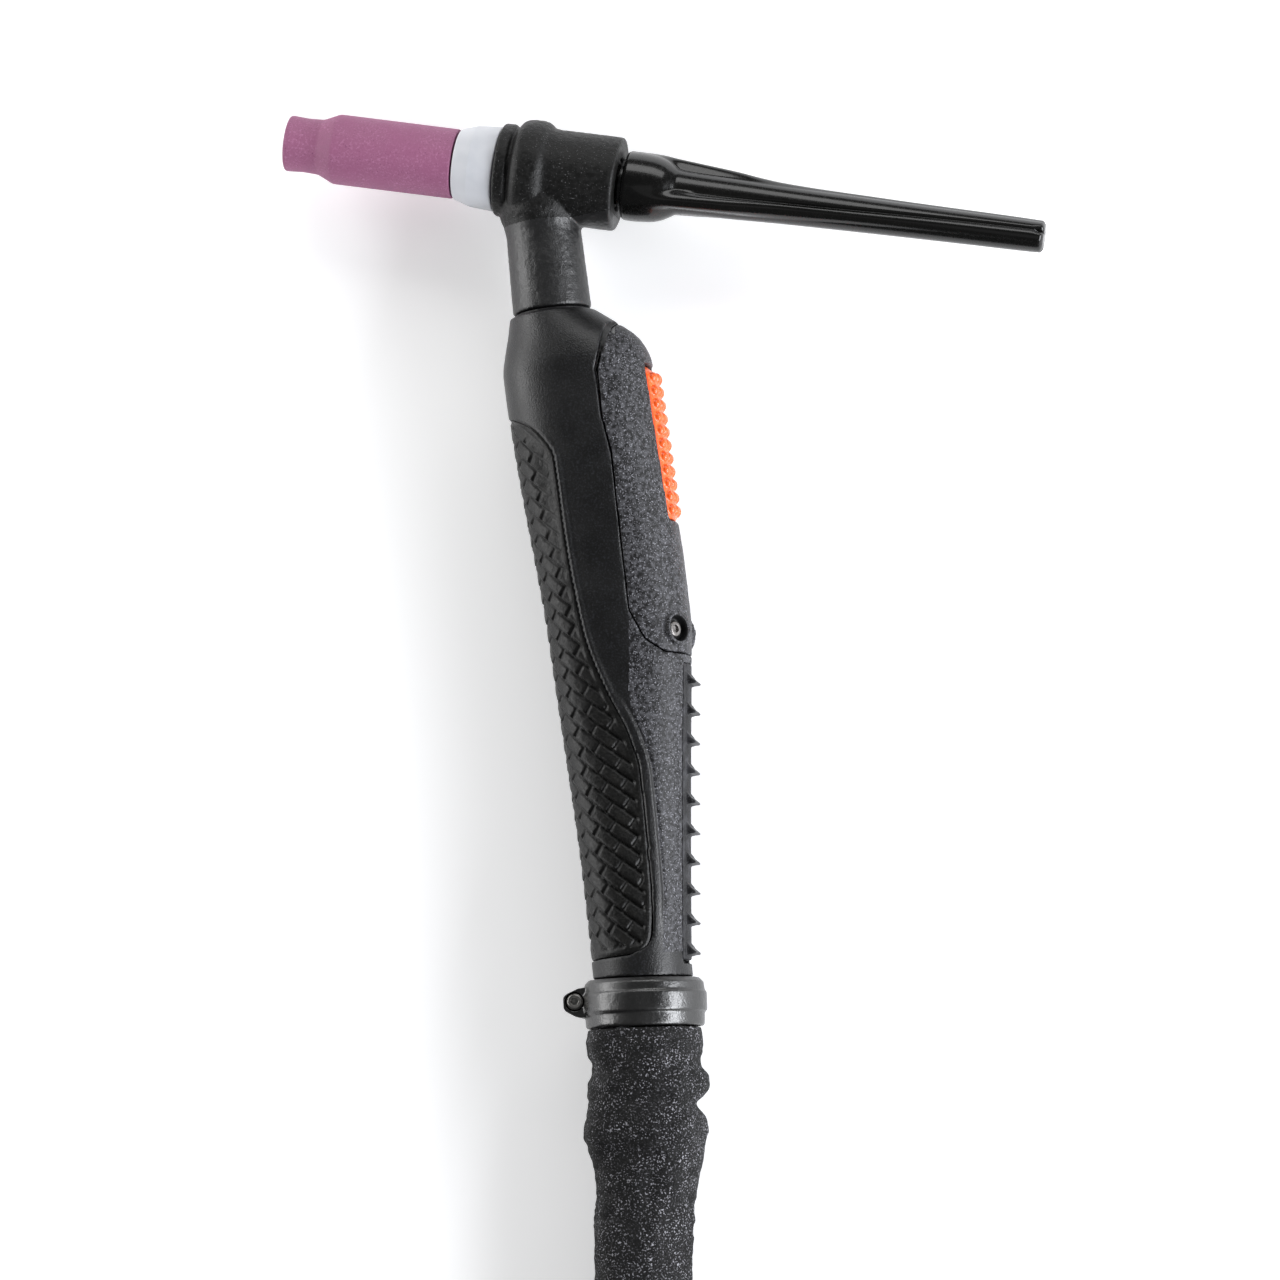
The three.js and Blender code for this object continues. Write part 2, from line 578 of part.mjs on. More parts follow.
/** Places in the coil's hole are given from the coil's centre. */
const inCoil = (points) => points.map(([x, y, z]) => [COIL_PLACE[0] + x, COIL_PLACE[1] + y, z]);

const POWER_PLUG = { x: 14, y: -58, z: 15 };      // where the tail enters, the plug points to -X
const CONTROL_PLUG = { x: 12, y: -20, z: 11.2 };

const POWER_ROUTE = inCoil([
  [-110.6, -8.6, 14], [-109.6, 4, 12], [-104.5, 20, 9], [-95.5, 36, 7.4], [-83.5, 50, 7.2],
  [-68, 64, 7.2], [-49, 75, 7.2], [-26, 82, 7.2], [0, 85, 7.2], [26, 81, 7.2], [50, 69, 7.2],
  [68, 52, 7.2], [79, 30, 7.2], [83, 6, 7.2], [79, -18, 7.4], [68, -38, 8.6], [50, -52, 11],
  [32, -57.4, 13.8], [14.3, -58, 15],
]);
const CONTROL_ROUTE = inCoil([
  [-99.6, -9.4, 12], [-99, 2, 9], [-95, 16, 5.6], [-87, 31, 3.7], [-75, 44, 3.5], [-58, 55, 3.5],
  [-38, 63, 3.5], [-16, 67, 3.5], [6, 66, 3.5], [27, 59, 3.5], [43, 46, 3.5], [52, 29, 3.5],
  [55, 12, 3.6], [51, -4, 4.6], [42, -15, 7.2], [28, -19.6, 10.2], [12.3, -20, 11.2],
]);

/** A turned piece along -X from the place where its tail enters. */
const alongPlug = (geometry, place) =>
  geometry.rotateZ(Math.PI).translate(COIL_PLACE[0] + place.x, COIL_PLACE[1] + place.y, place.z);

/** The rubber boot where the sheath ends and the two tails come out of it. */
function sheathEndBoot() {
  const profile = [[0, 0], [0, 13.8], [12, 14.2], [16, 13.8], [40, 11.5], [42, 10.6], [42, 0]];
  const [x, y] = onRound(-155, COIL_MIDDLE - TURN_SPACING, 0);
  return turned(profile, 16).rotateZ(radians(97)).translate(x + 0.3, y + 0.8, TURN_HEIGHT);
}

function tails() {
  const boot = cut(
    solid(sheathEndBoot()),
    tube(lastTurn(), SHEATH_RADIUS + 2 * GAP, 38, 10),
    tube(POWER_ROUTE, POWER_TAIL_RADIUS + GAP, 26, 8),
    tube(CONTROL_ROUTE, CONTROL_TAIL_RADIUS + GAP, 24, 8),
  );
  return [
    part("sheath_end_boot", boot, RUBBER),
    part("power_tail", tube(POWER_ROUTE, POWER_TAIL_RADIUS, 26, 8), RUBBER),
    part("control_tail", tube(CONTROL_ROUTE, CONTROL_TAIL_RADIUS, 24, 8), RUBBER),
  ];
}

function powerPlug() {
  const boot = turned([
    [GAP, 0], [GAP, 10], [4, 11], [24, 12.6], [30, 14.4], [56, 14.4], [58, 13.2], [58, 7.4],
    [50, 7.4], [50, 0],
  ], 20);
  const seal = turnedRing([[58.4, 6.9], [58.4, 8.6], [59, 9], [60.4, 9], [61, 8.6], [61, 6.9]], 16);
  const pin = join(
    turned([[50.4, 0], [50.4, 6.5], [79.4, 6.5], [81, 5.2], [81, 0]], 16),
    block([66, 71], [0, 8.4], [-2, 2]),
  );
  return [
    part("power_plug_boot", alongPlug(boot, POWER_PLUG), RUBBER),
    part("power_plug_seal", alongPlug(seal, POWER_PLUG), RUBBER),
    part("power_plug_pin", geometryOf(pin).rotateZ(Math.PI)
      .translate(COIL_PLACE[0] + POWER_PLUG.x, COIL_PLACE[1] + POWER_PLUG.y, POWER_PLUG.z), BRASS),
  ];
}

function controlPlug() {
  const gland = turned([[GAP, 0], [GAP, 5], [3, 6.4], [11.7, 6.4], [11.7, 0]], 12);
  const shell = turned([
    [12, 0], [12, 7.6], [18, 9.6], [33, 9.6], [33, 8.4], [50.5, 8.4], [50.5, 7], [44, 7], [44, 0],
  ], 20);
  const insert = turned([[44.3, 0], [44.3, 6.6], [50, 6.6], [50, 0]], 20);
  const grooves = [];
  for (let i = 0; i < 10; i++) {
    grooves.push(block([35, 46.5], [10.5, 12], [-0.8, 0.8]).rotateX((2 * Math.PI * i) / 10));
  }
  const ring = cut(solid(turnedRing([[33.4, 8.8], [33.4, 10.4], [34.2, 11.1], [47.5, 11.1], [48.3, 10.4],
    [48.3, 8.8]], 20)), ...grooves);
  return [
    part("control_plug_gland", alongPlug(gland, CONTROL_PLUG), SWITCH_BLACK),
    part("control_plug_shell", alongPlug(shell, CONTROL_PLUG), STEEL),
    part("control_plug_insert", alongPlug(insert, CONTROL_PLUG), SWITCH_BLACK),
    part("control_plug_ring", alongPlug(geometryOf(ring), CONTROL_PLUG), STEEL),
  ];
}

// ---------------------------------------------------------------- assembly
const collarFrame = new THREE.Group();
collarFrame.position.set(...COLLAR_PLACE);
collarFrame.rotation.z = radians(COLLAR_ANGLE);
collarFrame.add(cableCollar(), ...clampFasteners());

const handleFrame = new THREE.Group();
handleFrame.rotation.z = radians(HEAD_ANGLE);
handleFrame.add(
  ...handleShells(), gripPad(), ribStrip(), switchHousing(), trigger(), switchCarrier(),
  ...switchParts(), housingScrew("housing_screw_left", 1), housingScrew("housing_screw_right", -1),
  ...innerLines(), collarFrame,
);

const headFrame = new THREE.Group();
headFrame.position.set(...HEAD_PLACE);
headFrame.add(
  gasNozzle(), insulatorRing(), colletBody(), collet(), electrode(), headCore(), headCover(),
  capSeal(), backCap(), handleFrame,
);

const torch = new THREE.Group();
torch.add(
  headFrame, ...sheath(), coilStrap("coil_strap_a", STRAP_ANGLES.a), coilStrap("coil_strap_b", STRAP_ANGLES.b),
  ...tails(), ...powerPlug(), ...controlPlug(),
);

export default torch;
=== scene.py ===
import math

import bmesh
import bpy
import numpy as np
from mathutils import Matrix, Vector


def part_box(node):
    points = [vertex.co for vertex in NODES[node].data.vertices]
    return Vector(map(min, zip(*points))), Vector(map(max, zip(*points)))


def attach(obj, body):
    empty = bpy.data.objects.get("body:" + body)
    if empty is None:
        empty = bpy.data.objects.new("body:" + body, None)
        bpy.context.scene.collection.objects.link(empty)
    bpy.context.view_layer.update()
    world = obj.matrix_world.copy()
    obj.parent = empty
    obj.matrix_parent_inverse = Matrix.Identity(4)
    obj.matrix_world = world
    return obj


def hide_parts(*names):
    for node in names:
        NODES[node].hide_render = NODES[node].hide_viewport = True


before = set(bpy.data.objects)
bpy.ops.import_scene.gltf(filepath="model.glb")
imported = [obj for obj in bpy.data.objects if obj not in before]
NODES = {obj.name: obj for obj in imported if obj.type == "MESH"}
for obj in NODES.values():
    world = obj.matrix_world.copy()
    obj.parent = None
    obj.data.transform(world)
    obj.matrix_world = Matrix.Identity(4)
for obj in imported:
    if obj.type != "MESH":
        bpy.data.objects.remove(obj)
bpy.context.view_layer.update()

MM = 0.001
PI = math.pi


def turned_by(degrees, axis="Z"):
    return Matrix.Rotation(math.radians(degrees), 4, axis)


def shifted(x, y, z):
    return Matrix.Translation((x, y, z))


nozzle_low, nozzle_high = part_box("gas_nozzle")
nozzle_middle = (nozzle_low + nozzle_high) / 2
NOZZLE_REACH = 71      # from the nozzle's end to the middle of the head
HEAD_PLACE = (nozzle_low.x + NOZZLE_REACH * MM, nozzle_middle.y, nozzle_middle.z)
HANDLE_LEAN = -75      # degrees from the head's line
SLEEVE_OFFSET = 4.3    # of the collar and the cable from the handle's line
COLLAR_PLACE = (231.4, SLEEVE_OFFSET, 0)
COLLAR_LEAN = -4.5
TABLE = Matrix.Scale(MM, 4)
HEAD = shifted(*HEAD_PLACE) @ TABLE
HANDLE = HEAD @ turned_by(HANDLE_LEAN)
COLLAR = HANDLE @ shifted(*COLLAR_PLACE) @ turned_by(COLLAR_LEAN)

# ---- camera, light and table
VIEW_CENTRE = Vector((0.0124, -0.0157, 0.017))
VIEW_WIDTH = 0.3507
VIEW_DISTANCE = 1.6
LEAN_RIGHT = math.radians(9)
LEAN_DOWN = math.radians(4.5)
PICTURE_UP = Vector((-0.14954, 0.98876, 0))
SENSOR_WIDTH = 36


def placed(name, data):
    """A new object in the scene."""
    made = bpy.data.objects.new(name, data)
    bpy.context.scene.collection.objects.link(made)
    return made


def make_camera():
    lean = Vector((math.sin(LEAN_RIGHT), -math.sin(LEAN_DOWN), 0))
    back = Vector((lean.x, lean.y, math.sqrt(1 - lean.length_squared)))
    right = PICTURE_UP.cross(back).normalized()
    up = back.cross(right)
    turn = Matrix((right, up, back)).transposed().to_4x4()
    data = bpy.data.cameras.new("camera")
    data.sensor_width = SENSOR_WIDTH
    data.lens = SENSOR_WIDTH * VIEW_DISTANCE / VIEW_WIDTH
    data.clip_end = 20
    camera = placed("camera", data)
    camera.matrix_world = shifted(*(VIEW_CENTRE + back * VIEW_DISTANCE)) @ turn
    bpy.context.scene.camera = camera


def softbox(name, place, size, watts, colour=(1, 1, 1)):
    data = bpy.data.lights.new(name, "AREA")
    data.shape = "RECTANGLE"
    data.size, data.size_y = size
    data.energy = watts
    data.color = colour
    lamp = placed(name, data)
    lamp.location = place
    aim = VIEW_CENTRE - Vector(place)
    lamp.rotation_euler = aim.to_track_quat("-Z", "Y").to_euler()


def make_light():
    softbox("softbox_left", (-1.15, 0.1, 0.42), (1.5, 0.5), 14)
    softbox("softbox_right", (1.15, -0.2, 0.5), (1.5, 0.5), 30, (0.94, 0.96, 1))
    softbox("softbox_top", (0.1, 1.2, 0.8), (1.4, 0.6), 8)
    softbox("softbox_over", (0.25, -0.35, 1.9), (0.9, 0.9), 0.5)
    world = bpy.data.worlds.new("studio")
    world.use_nodes = True
    shade = world.node_tree.nodes["Background"]
    shade.inputs["Color"].default_value = (0.95, 0.97, 1, 1)
    shade.inputs["Strength"].default_value = 0.1
    bpy.context.scene.world = world
    bpy.context.scene.view_settings.view_transform = "Standard"


# ---- procedural materials
LOOKS = {}      # every material by its name


def linear(red, green, blue):
    """A colour from 0-255 display values."""
    channels = []
    for value in (red, green, blue):
        share = value / 255
        channels.append(share / 12.92 if share < 0.04045 else ((share + 0.055) / 1.055) ** 2.4)
    return (*channels, 1)


class Paint:
    """One procedural material. Sizes and depths of its texture are in millimetres."""

    def __init__(self, name, colour, rough, metal=0.0, coat=0.0, sheen=0.0, specular=0.5):
        self.material = bpy.data.materials.new(name)
        self.material.use_nodes = True
        self.tree = self.material.node_tree
        self.shader = self.tree.nodes["Principled BSDF"]
        settings = {
            "Base Color": linear(*colour), "Roughness": rough, "Metallic": metal,
            "Specular IOR Level": specular, "Coat Weight": coat, "Coat Roughness": 0.08,
            "Sheen Weight": sheen, "Sheen Roughness": 0.4,
        }
        for socket, value in settings.items():
            self.set(socket, value)
        self.place = self.node("ShaderNodeTexCoord", "Object", {})
        self.relief = None
        LOOKS[name] = self.material

    def feed(self, socket, value):
        """Links a socket to another node's output, or sets its value."""
        if isinstance(value, bpy.types.NodeSocket):
            self.tree.links.new(value, socket)
        else:
            socket.default_value = value

    def set(self, name, value):
        self.feed(self.shader.inputs[name], value)

    def node(self, kind, output, inputs, **settings):
        """Adds a node and gives one of its outputs."""
        made = self.tree.nodes.new(kind)
        for name, value in settings.items():
            setattr(made, name, value)
        for name, value in inputs.items():
            self.feed(made.inputs[name], value)
        return made.outputs[output]

    def stretched(self, scale):
        """The place, squeezed along each axis, for grain that runs one way."""
        return self.node("ShaderNodeMapping", "Vector", {"Scale": scale, "Vector": self.place})

    def noise(self, size, detail=2.0, place=None):
        inputs = {"Scale": 1 / (size * MM), "Detail": detail, "Vector": place or self.place}
        return self.node("ShaderNodeTexNoise", "Fac", inputs)

    def bands(self, size, direction, wobble=0.0):
        inputs = {"Scale": PI / 10 / (size * MM), "Distortion": wobble, "Vector": self.place}
        return self.node("ShaderNodeTexWave", "Fac", inputs, bands_direction=direction)

    def between(self, fac, low, high, to_low=0.0, to_high=1.0):
        inputs = {"Value": fac, "From Min": low, "From Max": high, "To Min": to_low, "To Max": to_high}
        return self.node("ShaderNodeMapRange", "Result", inputs)

    def times(self, first, second):
        return self.node("ShaderNodeMath", "Value", {0: first, 1: second}, operation="MULTIPLY")

    def mottle(self, fac, colour):
        """Mixes another colour into the base where fac is high."""
        before = self.shader.inputs["Base Color"]
        base = before.links[0].from_socket if before.is_linked else before.default_value
        inputs = {0: fac, 6: base, 7: linear(*colour)}
        self.set("Base Color", self.node("ShaderNodeMix", 2, inputs, data_type="RGBA"))
        return self

    def patches(self, size, detail, low, high, colour):
        """Patches of another colour where a noise of that size rises from low to high."""
        return self.mottle(self.between(self.noise(size, detail), low, high), colour)

    def rough_from(self, fac, low, high):
        self.set("Roughness", self.between(fac, 0.3, 0.7, low, high))
        return self

    def bump(self, height, depth, strength=1.0):
        """Adds relief of that depth on top of what is there."""
        inputs = {"Strength": strength, "Distance": depth * MM, "Height": height}
        if self.relief is not None:
            inputs["Normal"] = self.relief
        self.relief = self.node("ShaderNodeBump", "Normal", inputs)
        self.set("Normal", self.relief)
        return self


def plain_plastic(name, colour, lighter, rough, grain, depth, specular=0.3):
    """Moulded plastic with a spark-eroded grain and slightly uneven gloss."""
    paint = Paint(name, colour, rough, specular=specular)
    fine = paint.noise(grain, 3)
    paint.mottle(paint.between(fine, 0.5, 0.8), lighter)
    paint.rough_from(paint.noise(14, 2), rough - 0.06, rough + 0.08)
    paint.bump(fine, depth)


def speckled_plastic(name, dark, light, grain, amount, depth, rough, patchy=1.0):
    """Moulded plastic with coarse pale speckles over patches half as pale."""
    paint = Paint(name, dark, rough, specular=0.3)
    fine = paint.noise(grain, 2)
    coarse = paint.noise(grain * 2.6, 1)
    halfway = [0.5 * (a + b) for a, b in zip(dark, light)]
    paint.mottle(paint.between(coarse, 0.4, 0.75, 0, patchy), halfway)
    paint.mottle(paint.between(fine, 0.62 - amount, 0.72 - amount * 0.6), light)
    paint.rough_from(coarse, rough - 0.05, rough + 0.08)
    paint.bump(fine, depth).bump(paint.noise(6, 2), 0.12)


def brushed_metal(name, colour, darker, rough, across=(1, 40, 40)):
    paint = Paint(name, colour, rough, metal=1.0)
    streaks = paint.noise(6, 3, paint.stretched(across))
    paint.patches(5, 3, 0.45, 0.75, darker)
    paint.rough_from(streaks, rough - 0.08, rough + 0.12)
    paint.bump(streaks, 0.01)


def soft_rubber(name, colour, dusty, grain=0.25, depth=0.05, rough=0.62):
    paint = Paint(name, colour, rough, sheen=0.05, specular=0.3)
    fine = paint.noise(grain, 3)
    paint.patches(4, 3, 0.5, 0.85, dusty)
    paint.mottle(paint.between(fine, 0.55, 0.8), dusty)
    paint.rough_from(fine, rough - 0.1, rough + 0.14)
    paint.bump(fine, depth)


def alumina():
    paint = Paint("alumina", (152, 92, 125), 0.62)
    grains = paint.noise(0.55, 3)
    paint.mottle(paint.between(grains, 0.5, 0.72), (176, 116, 150))
    paint.patches(0.35, 1, 0.64, 0.74, (120, 62, 98))
    paint.patches(9, 2, 0.45, 0.8, (152, 88, 124))
    paint.rough_from(grains, 0.5, 0.75)
    paint.bump(grains, 0.06)


def ptfe():
    paint = Paint("ptfe", (212, 214, 219), 0.42)
    paint.set("Subsurface Weight", 0.15)
    paint.set("Subsurface Radius", (0.002, 0.002, 0.002))
    paint.patches(7, 3, 0.5, 0.8, (202, 205, 211))
    paint.rough_from(paint.noise(3, 2), 0.34, 0.5)
    paint.bump(paint.bands(0.35, "X", 0.4), 0.012)


def gloss_black():
    paint = Paint("gloss_black", (6, 6, 5), 0.2, coat=0.3, specular=0.4)
    flow = paint.noise(3.5, 3, paint.stretched((0.25, 1, 1)))
    paint.mottle(paint.between(flow, 0.5, 0.8), (13, 12, 10))
    paint.rough_from(paint.noise(0.7, 3), 0.19, 0.3)
    paint.bump(paint.noise(0.5, 2), 0.008).bump(flow, 0.008)


def orange_plastic():
    paint = Paint("orange", (240, 88, 16), 0.36, coat=0.3)
    paint.patches(1.6, 3, 0.45, 0.75, (250, 108, 30))
    paint.patches(0.5, 2, 0.62, 0.75, (255, 150, 84))
    paint.rough_from(paint.noise(0.8, 2), 0.3, 0.46)
    paint.bump(paint.noise(0.4, 2), 0.025)


def sheath_hide():
    """Split-leather cable cover: dark suede with pale flecks and small creases."""
    paint = Paint("sheath_hide", (3, 3, 3), 0.55, specular=0.3)
    grain = paint.noise(0.55, 3)
    crowding = paint.between(paint.noise(5, 2), 0.35, 0.65, 0.15, 1)
    flecks = paint.times(paint.between(paint.noise(0.5, 1), 0.58, 0.7), crowding)
    creases = paint.noise(3.2, 4)
    paint.mottle(paint.between(creases, 0.48, 0.75), (11, 11, 11))
    paint.mottle(flecks, (158, 157, 163))
    paint.rough_from(grain, 0.62, 0.9)
    paint.bump(creases, 0.9, 0.8).bump(grain, 0.28)


def woven_webbing():
    paint = Paint("webbing", (22, 23, 27), 0.85, sheen=0.3)
    weave = paint.times(paint.bands(0.9, "Z"), paint.bands(0.7, "DIAGONAL", 0.6))
    paint.mottle(paint.between(weave, 0.3, 0.9), (48, 50, 56))
    paint.rough_from(paint.noise(0.6, 2), 0.75, 0.95)
    paint.bump(weave, 0.15).bump(paint.noise(0.3, 2), 0.05)


def table_top():
    paint = Paint("table_top", (253, 253, 253), 0.9, specular=0.1)
    paint.set("Emission Color", (1, 1, 1, 1))
    paint.set("Emission Strength", 0.3)
    paint.patches(400, 2, 0.4, 0.8, (250, 250, 251))


def make_looks():
    alumina()
    ptfe()
    speckled_plastic("moulded_black", (10, 10, 9), (96, 96, 97), 0.42, -0.03, 0.16, 0.44, 0.15)
    plain_plastic("neck_black", (10, 10, 10), (32, 32, 35), 0.4, 0.42, 0.1, 0.7)
    gloss_black()
    plain_plastic("smooth_black", (5, 5, 5), (40, 41, 45), 0.38, 0.45, 0.12, 0.5)
    speckled_plastic("speckled_grey", (18, 18, 19), (140, 140, 146), 0.42, 0.03, 0.12, 0.5)
    soft_rubber("seal_rubber", (24, 24, 25), (40, 40, 42), 0.15, 0.02, 0.5)
    soft_rubber("cable_rubber", (20, 20, 21), (36, 36, 38), 0.2, 0.02, 0.5)
    soft_rubber("pad_rubber", (7, 7, 6), (26, 25, 23), 0.45, 0.1, 0.4)
    soft_rubber("strip_rubber", (24, 24, 26), (72, 72, 76), 0.45, 0.06, 0.5)
    plain_plastic("collar_black", (8, 8, 7), (30, 30, 29), 0.3, 0.45, 0.08, 1.0)
    # Painted shade: a darker, duller copy of the trigger's orange for its side walls and underside.
    plain_plastic("orange_painted_shade", (226, 74, 8), (236, 88, 16), 0.4, 0.3, 0.02)
    orange_plastic()
    plain_plastic("switch_black", (24, 24, 25), (40, 40, 42), 0.42, 0.25, 0.02)
    brushed_metal("copper", (196, 118, 84), (150, 84, 58), 0.32)
    brushed_metal("brass", (200, 162, 92), (158, 120, 62), 0.3)
    brushed_metal("dark_steel", (128, 125, 123), (92, 90, 88), 0.4)
    brushed_metal("steel", (176, 174, 170), (128, 127, 124), 0.32)
    brushed_metal("tungsten", (122, 123, 126), (92, 92, 96), 0.36, (40, 1, 1))
    sheath_hide()
    woven_webbing()
    table_top()


# ---- curves and noise
def eased(value, low, high):
    share = np.clip((value - low) / (high - low), 0, 1)
    return share * share * (3 - 2 * share)


def bell(value, middle, width):
    return np.exp(-(((value - middle) / width) ** 2))


def off_by(turn, facing):
    """Degrees from a direction, between -180 and 180."""
    return (turn - facing + 180) % 360 - 180


def cubic(t, gap, start, end, start_slope, end_slope):
    """The curve from start to end with those slopes, at a share t of the gap between them."""
    line = (1 + 2 * t) * (1 - t) ** 2 * start + t * (1 - t) ** 2 * gap * start_slope
    return line + t * t * (3 - 2 * t) * end + t * t * (t - 1) * gap * end_slope


def smooth_curve(x, known):
    """A smooth curve through (x, y) pairs that never overshoots them."""
    xs, ys = (np.array(column, float) for column in zip(*known))
    steps = np.diff(xs)
    slopes = np.diff(ys) / steps
    tangents = np.zeros(len(xs))
    tangents[0], tangents[-1] = slopes[0], slopes[-1]
    for i in range(1, len(xs) - 1):
        if slopes[i - 1] * slopes[i] > 0:
            tangents[i] = 2 * slopes[i - 1] * slopes[i] / (slopes[i - 1] + slopes[i])
    x = np.clip(np.asarray(x, float), xs[0], xs[-1])
    k = np.clip(np.searchsorted(xs, x, "right") - 1, 0, len(steps) - 1)
    return cubic((x - xs[k]) / steps[k], steps[k], ys[k], ys[k + 1], tangents[k], tangents[k + 1])


def lumps(points, size, seed):
    """Smooth noise from -1 to 1, with lumps of about that size."""
    count = 64
    lattice = np.random.default_rng(seed).uniform(-1, 1, (count,) * 3)
    scaled = np.asarray(points, float) / size
    cell = np.floor(scaled).astype(int)
    share = scaled - cell
    share = share * share * (3 - 2 * share)
    total = np.zeros(scaled.shape[:-1])
    for corner in np.ndindex(2, 2, 2):
        near = np.where(np.array(corner) == 1, share, 1 - share).prod(axis=-1)
        i, j, k = np.moveaxis((cell + corner) % count, -1, 0)
        total += near * lattice[i, j, k]
    return total


def lengths_along(line):
    return np.concatenate([[0], np.cumsum(np.linalg.norm(np.diff(line, axis=0), axis=1))])


def line_through(points, step):
    """Evenly spaced points on a smooth line through the given ones."""
    known = np.array(points, float)
    along = lengths_along(known)
    tangents = np.gradient(known, along, axis=0)
    dense = np.linspace(0, along[-1], 40 * len(known))
    k = np.clip(np.searchsorted(along, dense, "right") - 1, 0, len(known) - 2)
    gap = (along[k + 1] - along[k])[:, None]
    t = (dense - along[k])[:, None] / gap
    return respaced(cubic(t, gap, known[k], known[k + 1], tangents[k], tangents[k + 1]), step)


def respaced(line, step):
    """The line with points a step apart; step may be a function of the distance along it."""
    along = lengths_along(line)
    if callable(step):
        places = [0.0]
        while places[-1] < along[-1]:
            places.append(places[-1] + step(places[-1]))
        places = np.array(places) * along[-1] / places[-1]
    else:
        places = np.linspace(0, along[-1], max(2, round(along[-1] / step)) + 1)
    return np.stack([np.interp(places, along, line[:, axis]) for axis in range(3)], axis=1)


def rounded(outline, radius, closed=False, steps=4):
    """The outline with its corners turned into small arcs, which take at most 40% of a side."""
    points = [np.array(point, float) for point in outline]
    made = []
    for i, corner in enumerate(points):
        if not closed and i in (0, len(points) - 1):
            made.append(tuple(corner))
            continue
        before = points[i - 1] - corner
        after = points[(i + 1) % len(points)] - corner
        reach_before = min(radius, 0.4 * np.linalg.norm(before))
        reach_after = min(radius, 0.4 * np.linalg.norm(after))
        start = corner + before / np.linalg.norm(before) * reach_before
        end = corner + after / np.linalg.norm(after) * reach_after
        for t in np.linspace(0, 1, steps + 1):
            made.append(tuple((1 - t) ** 2 * start + 2 * t * (1 - t) * corner + t * t * end))
    return made


# ---- meshes
def round_turn(sides, whole=2 * PI):
    """Evenly spaced angles round a whole turn."""
    return np.linspace(0, whole, sides, endpoint=False)


def body_from(points, faces):
    """A mesh object in millimetres, with its faces turned outward."""
    mesh = bpy.data.meshes.new("body")
    mesh.from_pydata(np.asarray(points, float).reshape(-1, 3).tolist(), [], faces)
    shape = bmesh.new()
    shape.from_mesh(mesh)
    bmesh.ops.recalc_face_normals(shape, faces=shape.faces)
    shape.to_mesh(mesh)
    shape.free()
    return placed("body", mesh)


def ring_faces(count, sides, loop):
    """Quads between rings of points; a loop joins the last ring to the first."""
    faces = []
    for i in range(count if loop else count - 1):
        here, there = i * sides, (i + 1) % count * sides
        for j in range(sides):
            k = (j + 1) % sides
            faces.append((here + j, here + k, there + k, there + j))
    return faces


def skinned(rings, loop=False):
    """A closed skin over rings of points: with flat ends, or joined into a loop."""
    rings = np.asarray(rings, float)
    count, sides = rings.shape[:2]
    faces = ring_faces(count, sides, loop)
    if not loop:
        faces.append(tuple(range(sides)))
        faces.append(tuple(range((count - 1) * sides, count * sides)))
    return body_from(rings, faces)


def turned(profile, sides=96, soft=0.3):
    """A solid of revolution about X. The profile starts and ends on the axis, or closes on itself."""
    on_axis = profile[0][1] == 0
    smooth = rounded(profile, soft, closed=not on_axis)
    rims = np.array([rim for rim in smooth if rim[1] > 0])
    turn = round_turn(sides)
    rings = np.empty((len(rims), sides, 3))
    rings[..., 0] = rims[:, :1]
    rings[..., 1] = rims[:, 1:] * np.cos(turn)
    rings[..., 2] = rims[:, 1:] * np.sin(turn)
    return skinned(rings, loop=not on_axis)


def rod(reach, radius, sides=64, soft=0.0):
    start, end = reach
    return turned([(start, 0), (start, radius), (end, radius), (end, 0)], sides, soft)


def slab(outline, reach):
    """An outline in the XY plane, made thick from one Z to another."""
    flat = np.array(outline, float)
    return skinned([np.column_stack([flat, np.full(len(flat), z)]) for z in reach])


def block(x, y, z):
    return slab([(x[0], y[0]), (x[1], y[0]), (x[1], y[1]), (x[0], y[1])], z)


def grid_faces(rows, columns, start):
    faces = []
    for i in range(rows - 1):
        for j in range(columns - 1):
            a = start + i * columns + j
            faces.append((a, a + 1, a + 1 + columns, a + columns))
    return faces


def plate(top, under):
    """A closed plate between two grids of points with the same rows and columns."""
    rows, columns = top.shape[:2]
    size = rows * columns
    faces = grid_faces(rows, columns, 0) + grid_faces(rows, columns, size)
    rim = list(range(columns))
    rim += [i * columns + columns - 1 for i in range(1, rows)]
    rim += [(rows - 1) * columns + j for j in range(columns - 2, -1, -1)]
    rim += [i * columns for i in range(rows - 2, 0, -1)]
    for a, b in zip(rim, rim[1:] + rim[:1]):
        faces.append((a, b, b + size, a + size))
    return body_from(np.concatenate([top.reshape(-1, 3), under.reshape(-1, 3)]), faces)


def bake(body):
    """Turns the modifiers into mesh."""
    bpy.context.view_layer.update()
    shaped = body.evaluated_get(bpy.context.evaluated_depsgraph_get())
    mesh = bpy.data.meshes.new_from_object(shaped)
    before = body.data
    body.modifiers.clear()
    body.data = mesh
    bpy.data.meshes.remove(before)
    return body


def combine(body, operation, *tools):
    for tool in tools:
        modifier = body.modifiers.new("combine", "BOOLEAN")
        modifier.operation = operation
        modifier.object = tool
        modifier.solver = "EXACT"
        bake(body)
        bpy.data.objects.remove(tool)
    return body


def cut(body, *tools):
    return combine(body, "DIFFERENCE", *tools)


def join(body, *tools):
    return combine(body, "UNION", *tools)


def gathered(bodies):
    """Several closed bodies in one mesh, which an even remesh then turns into one skin."""
    points, faces = [], []
    for body in bodies:
        start = len(points)
        points += [tuple(vertex.co) for vertex in body.data.vertices]
        faces += [tuple(start + i for i in face.vertices) for face in body.data.polygons]
        bpy.data.objects.remove(body)
    return body_from(points, faces)


def moved(body, *steps):
    for step in steps:
        body.data.transform(step)
    return body


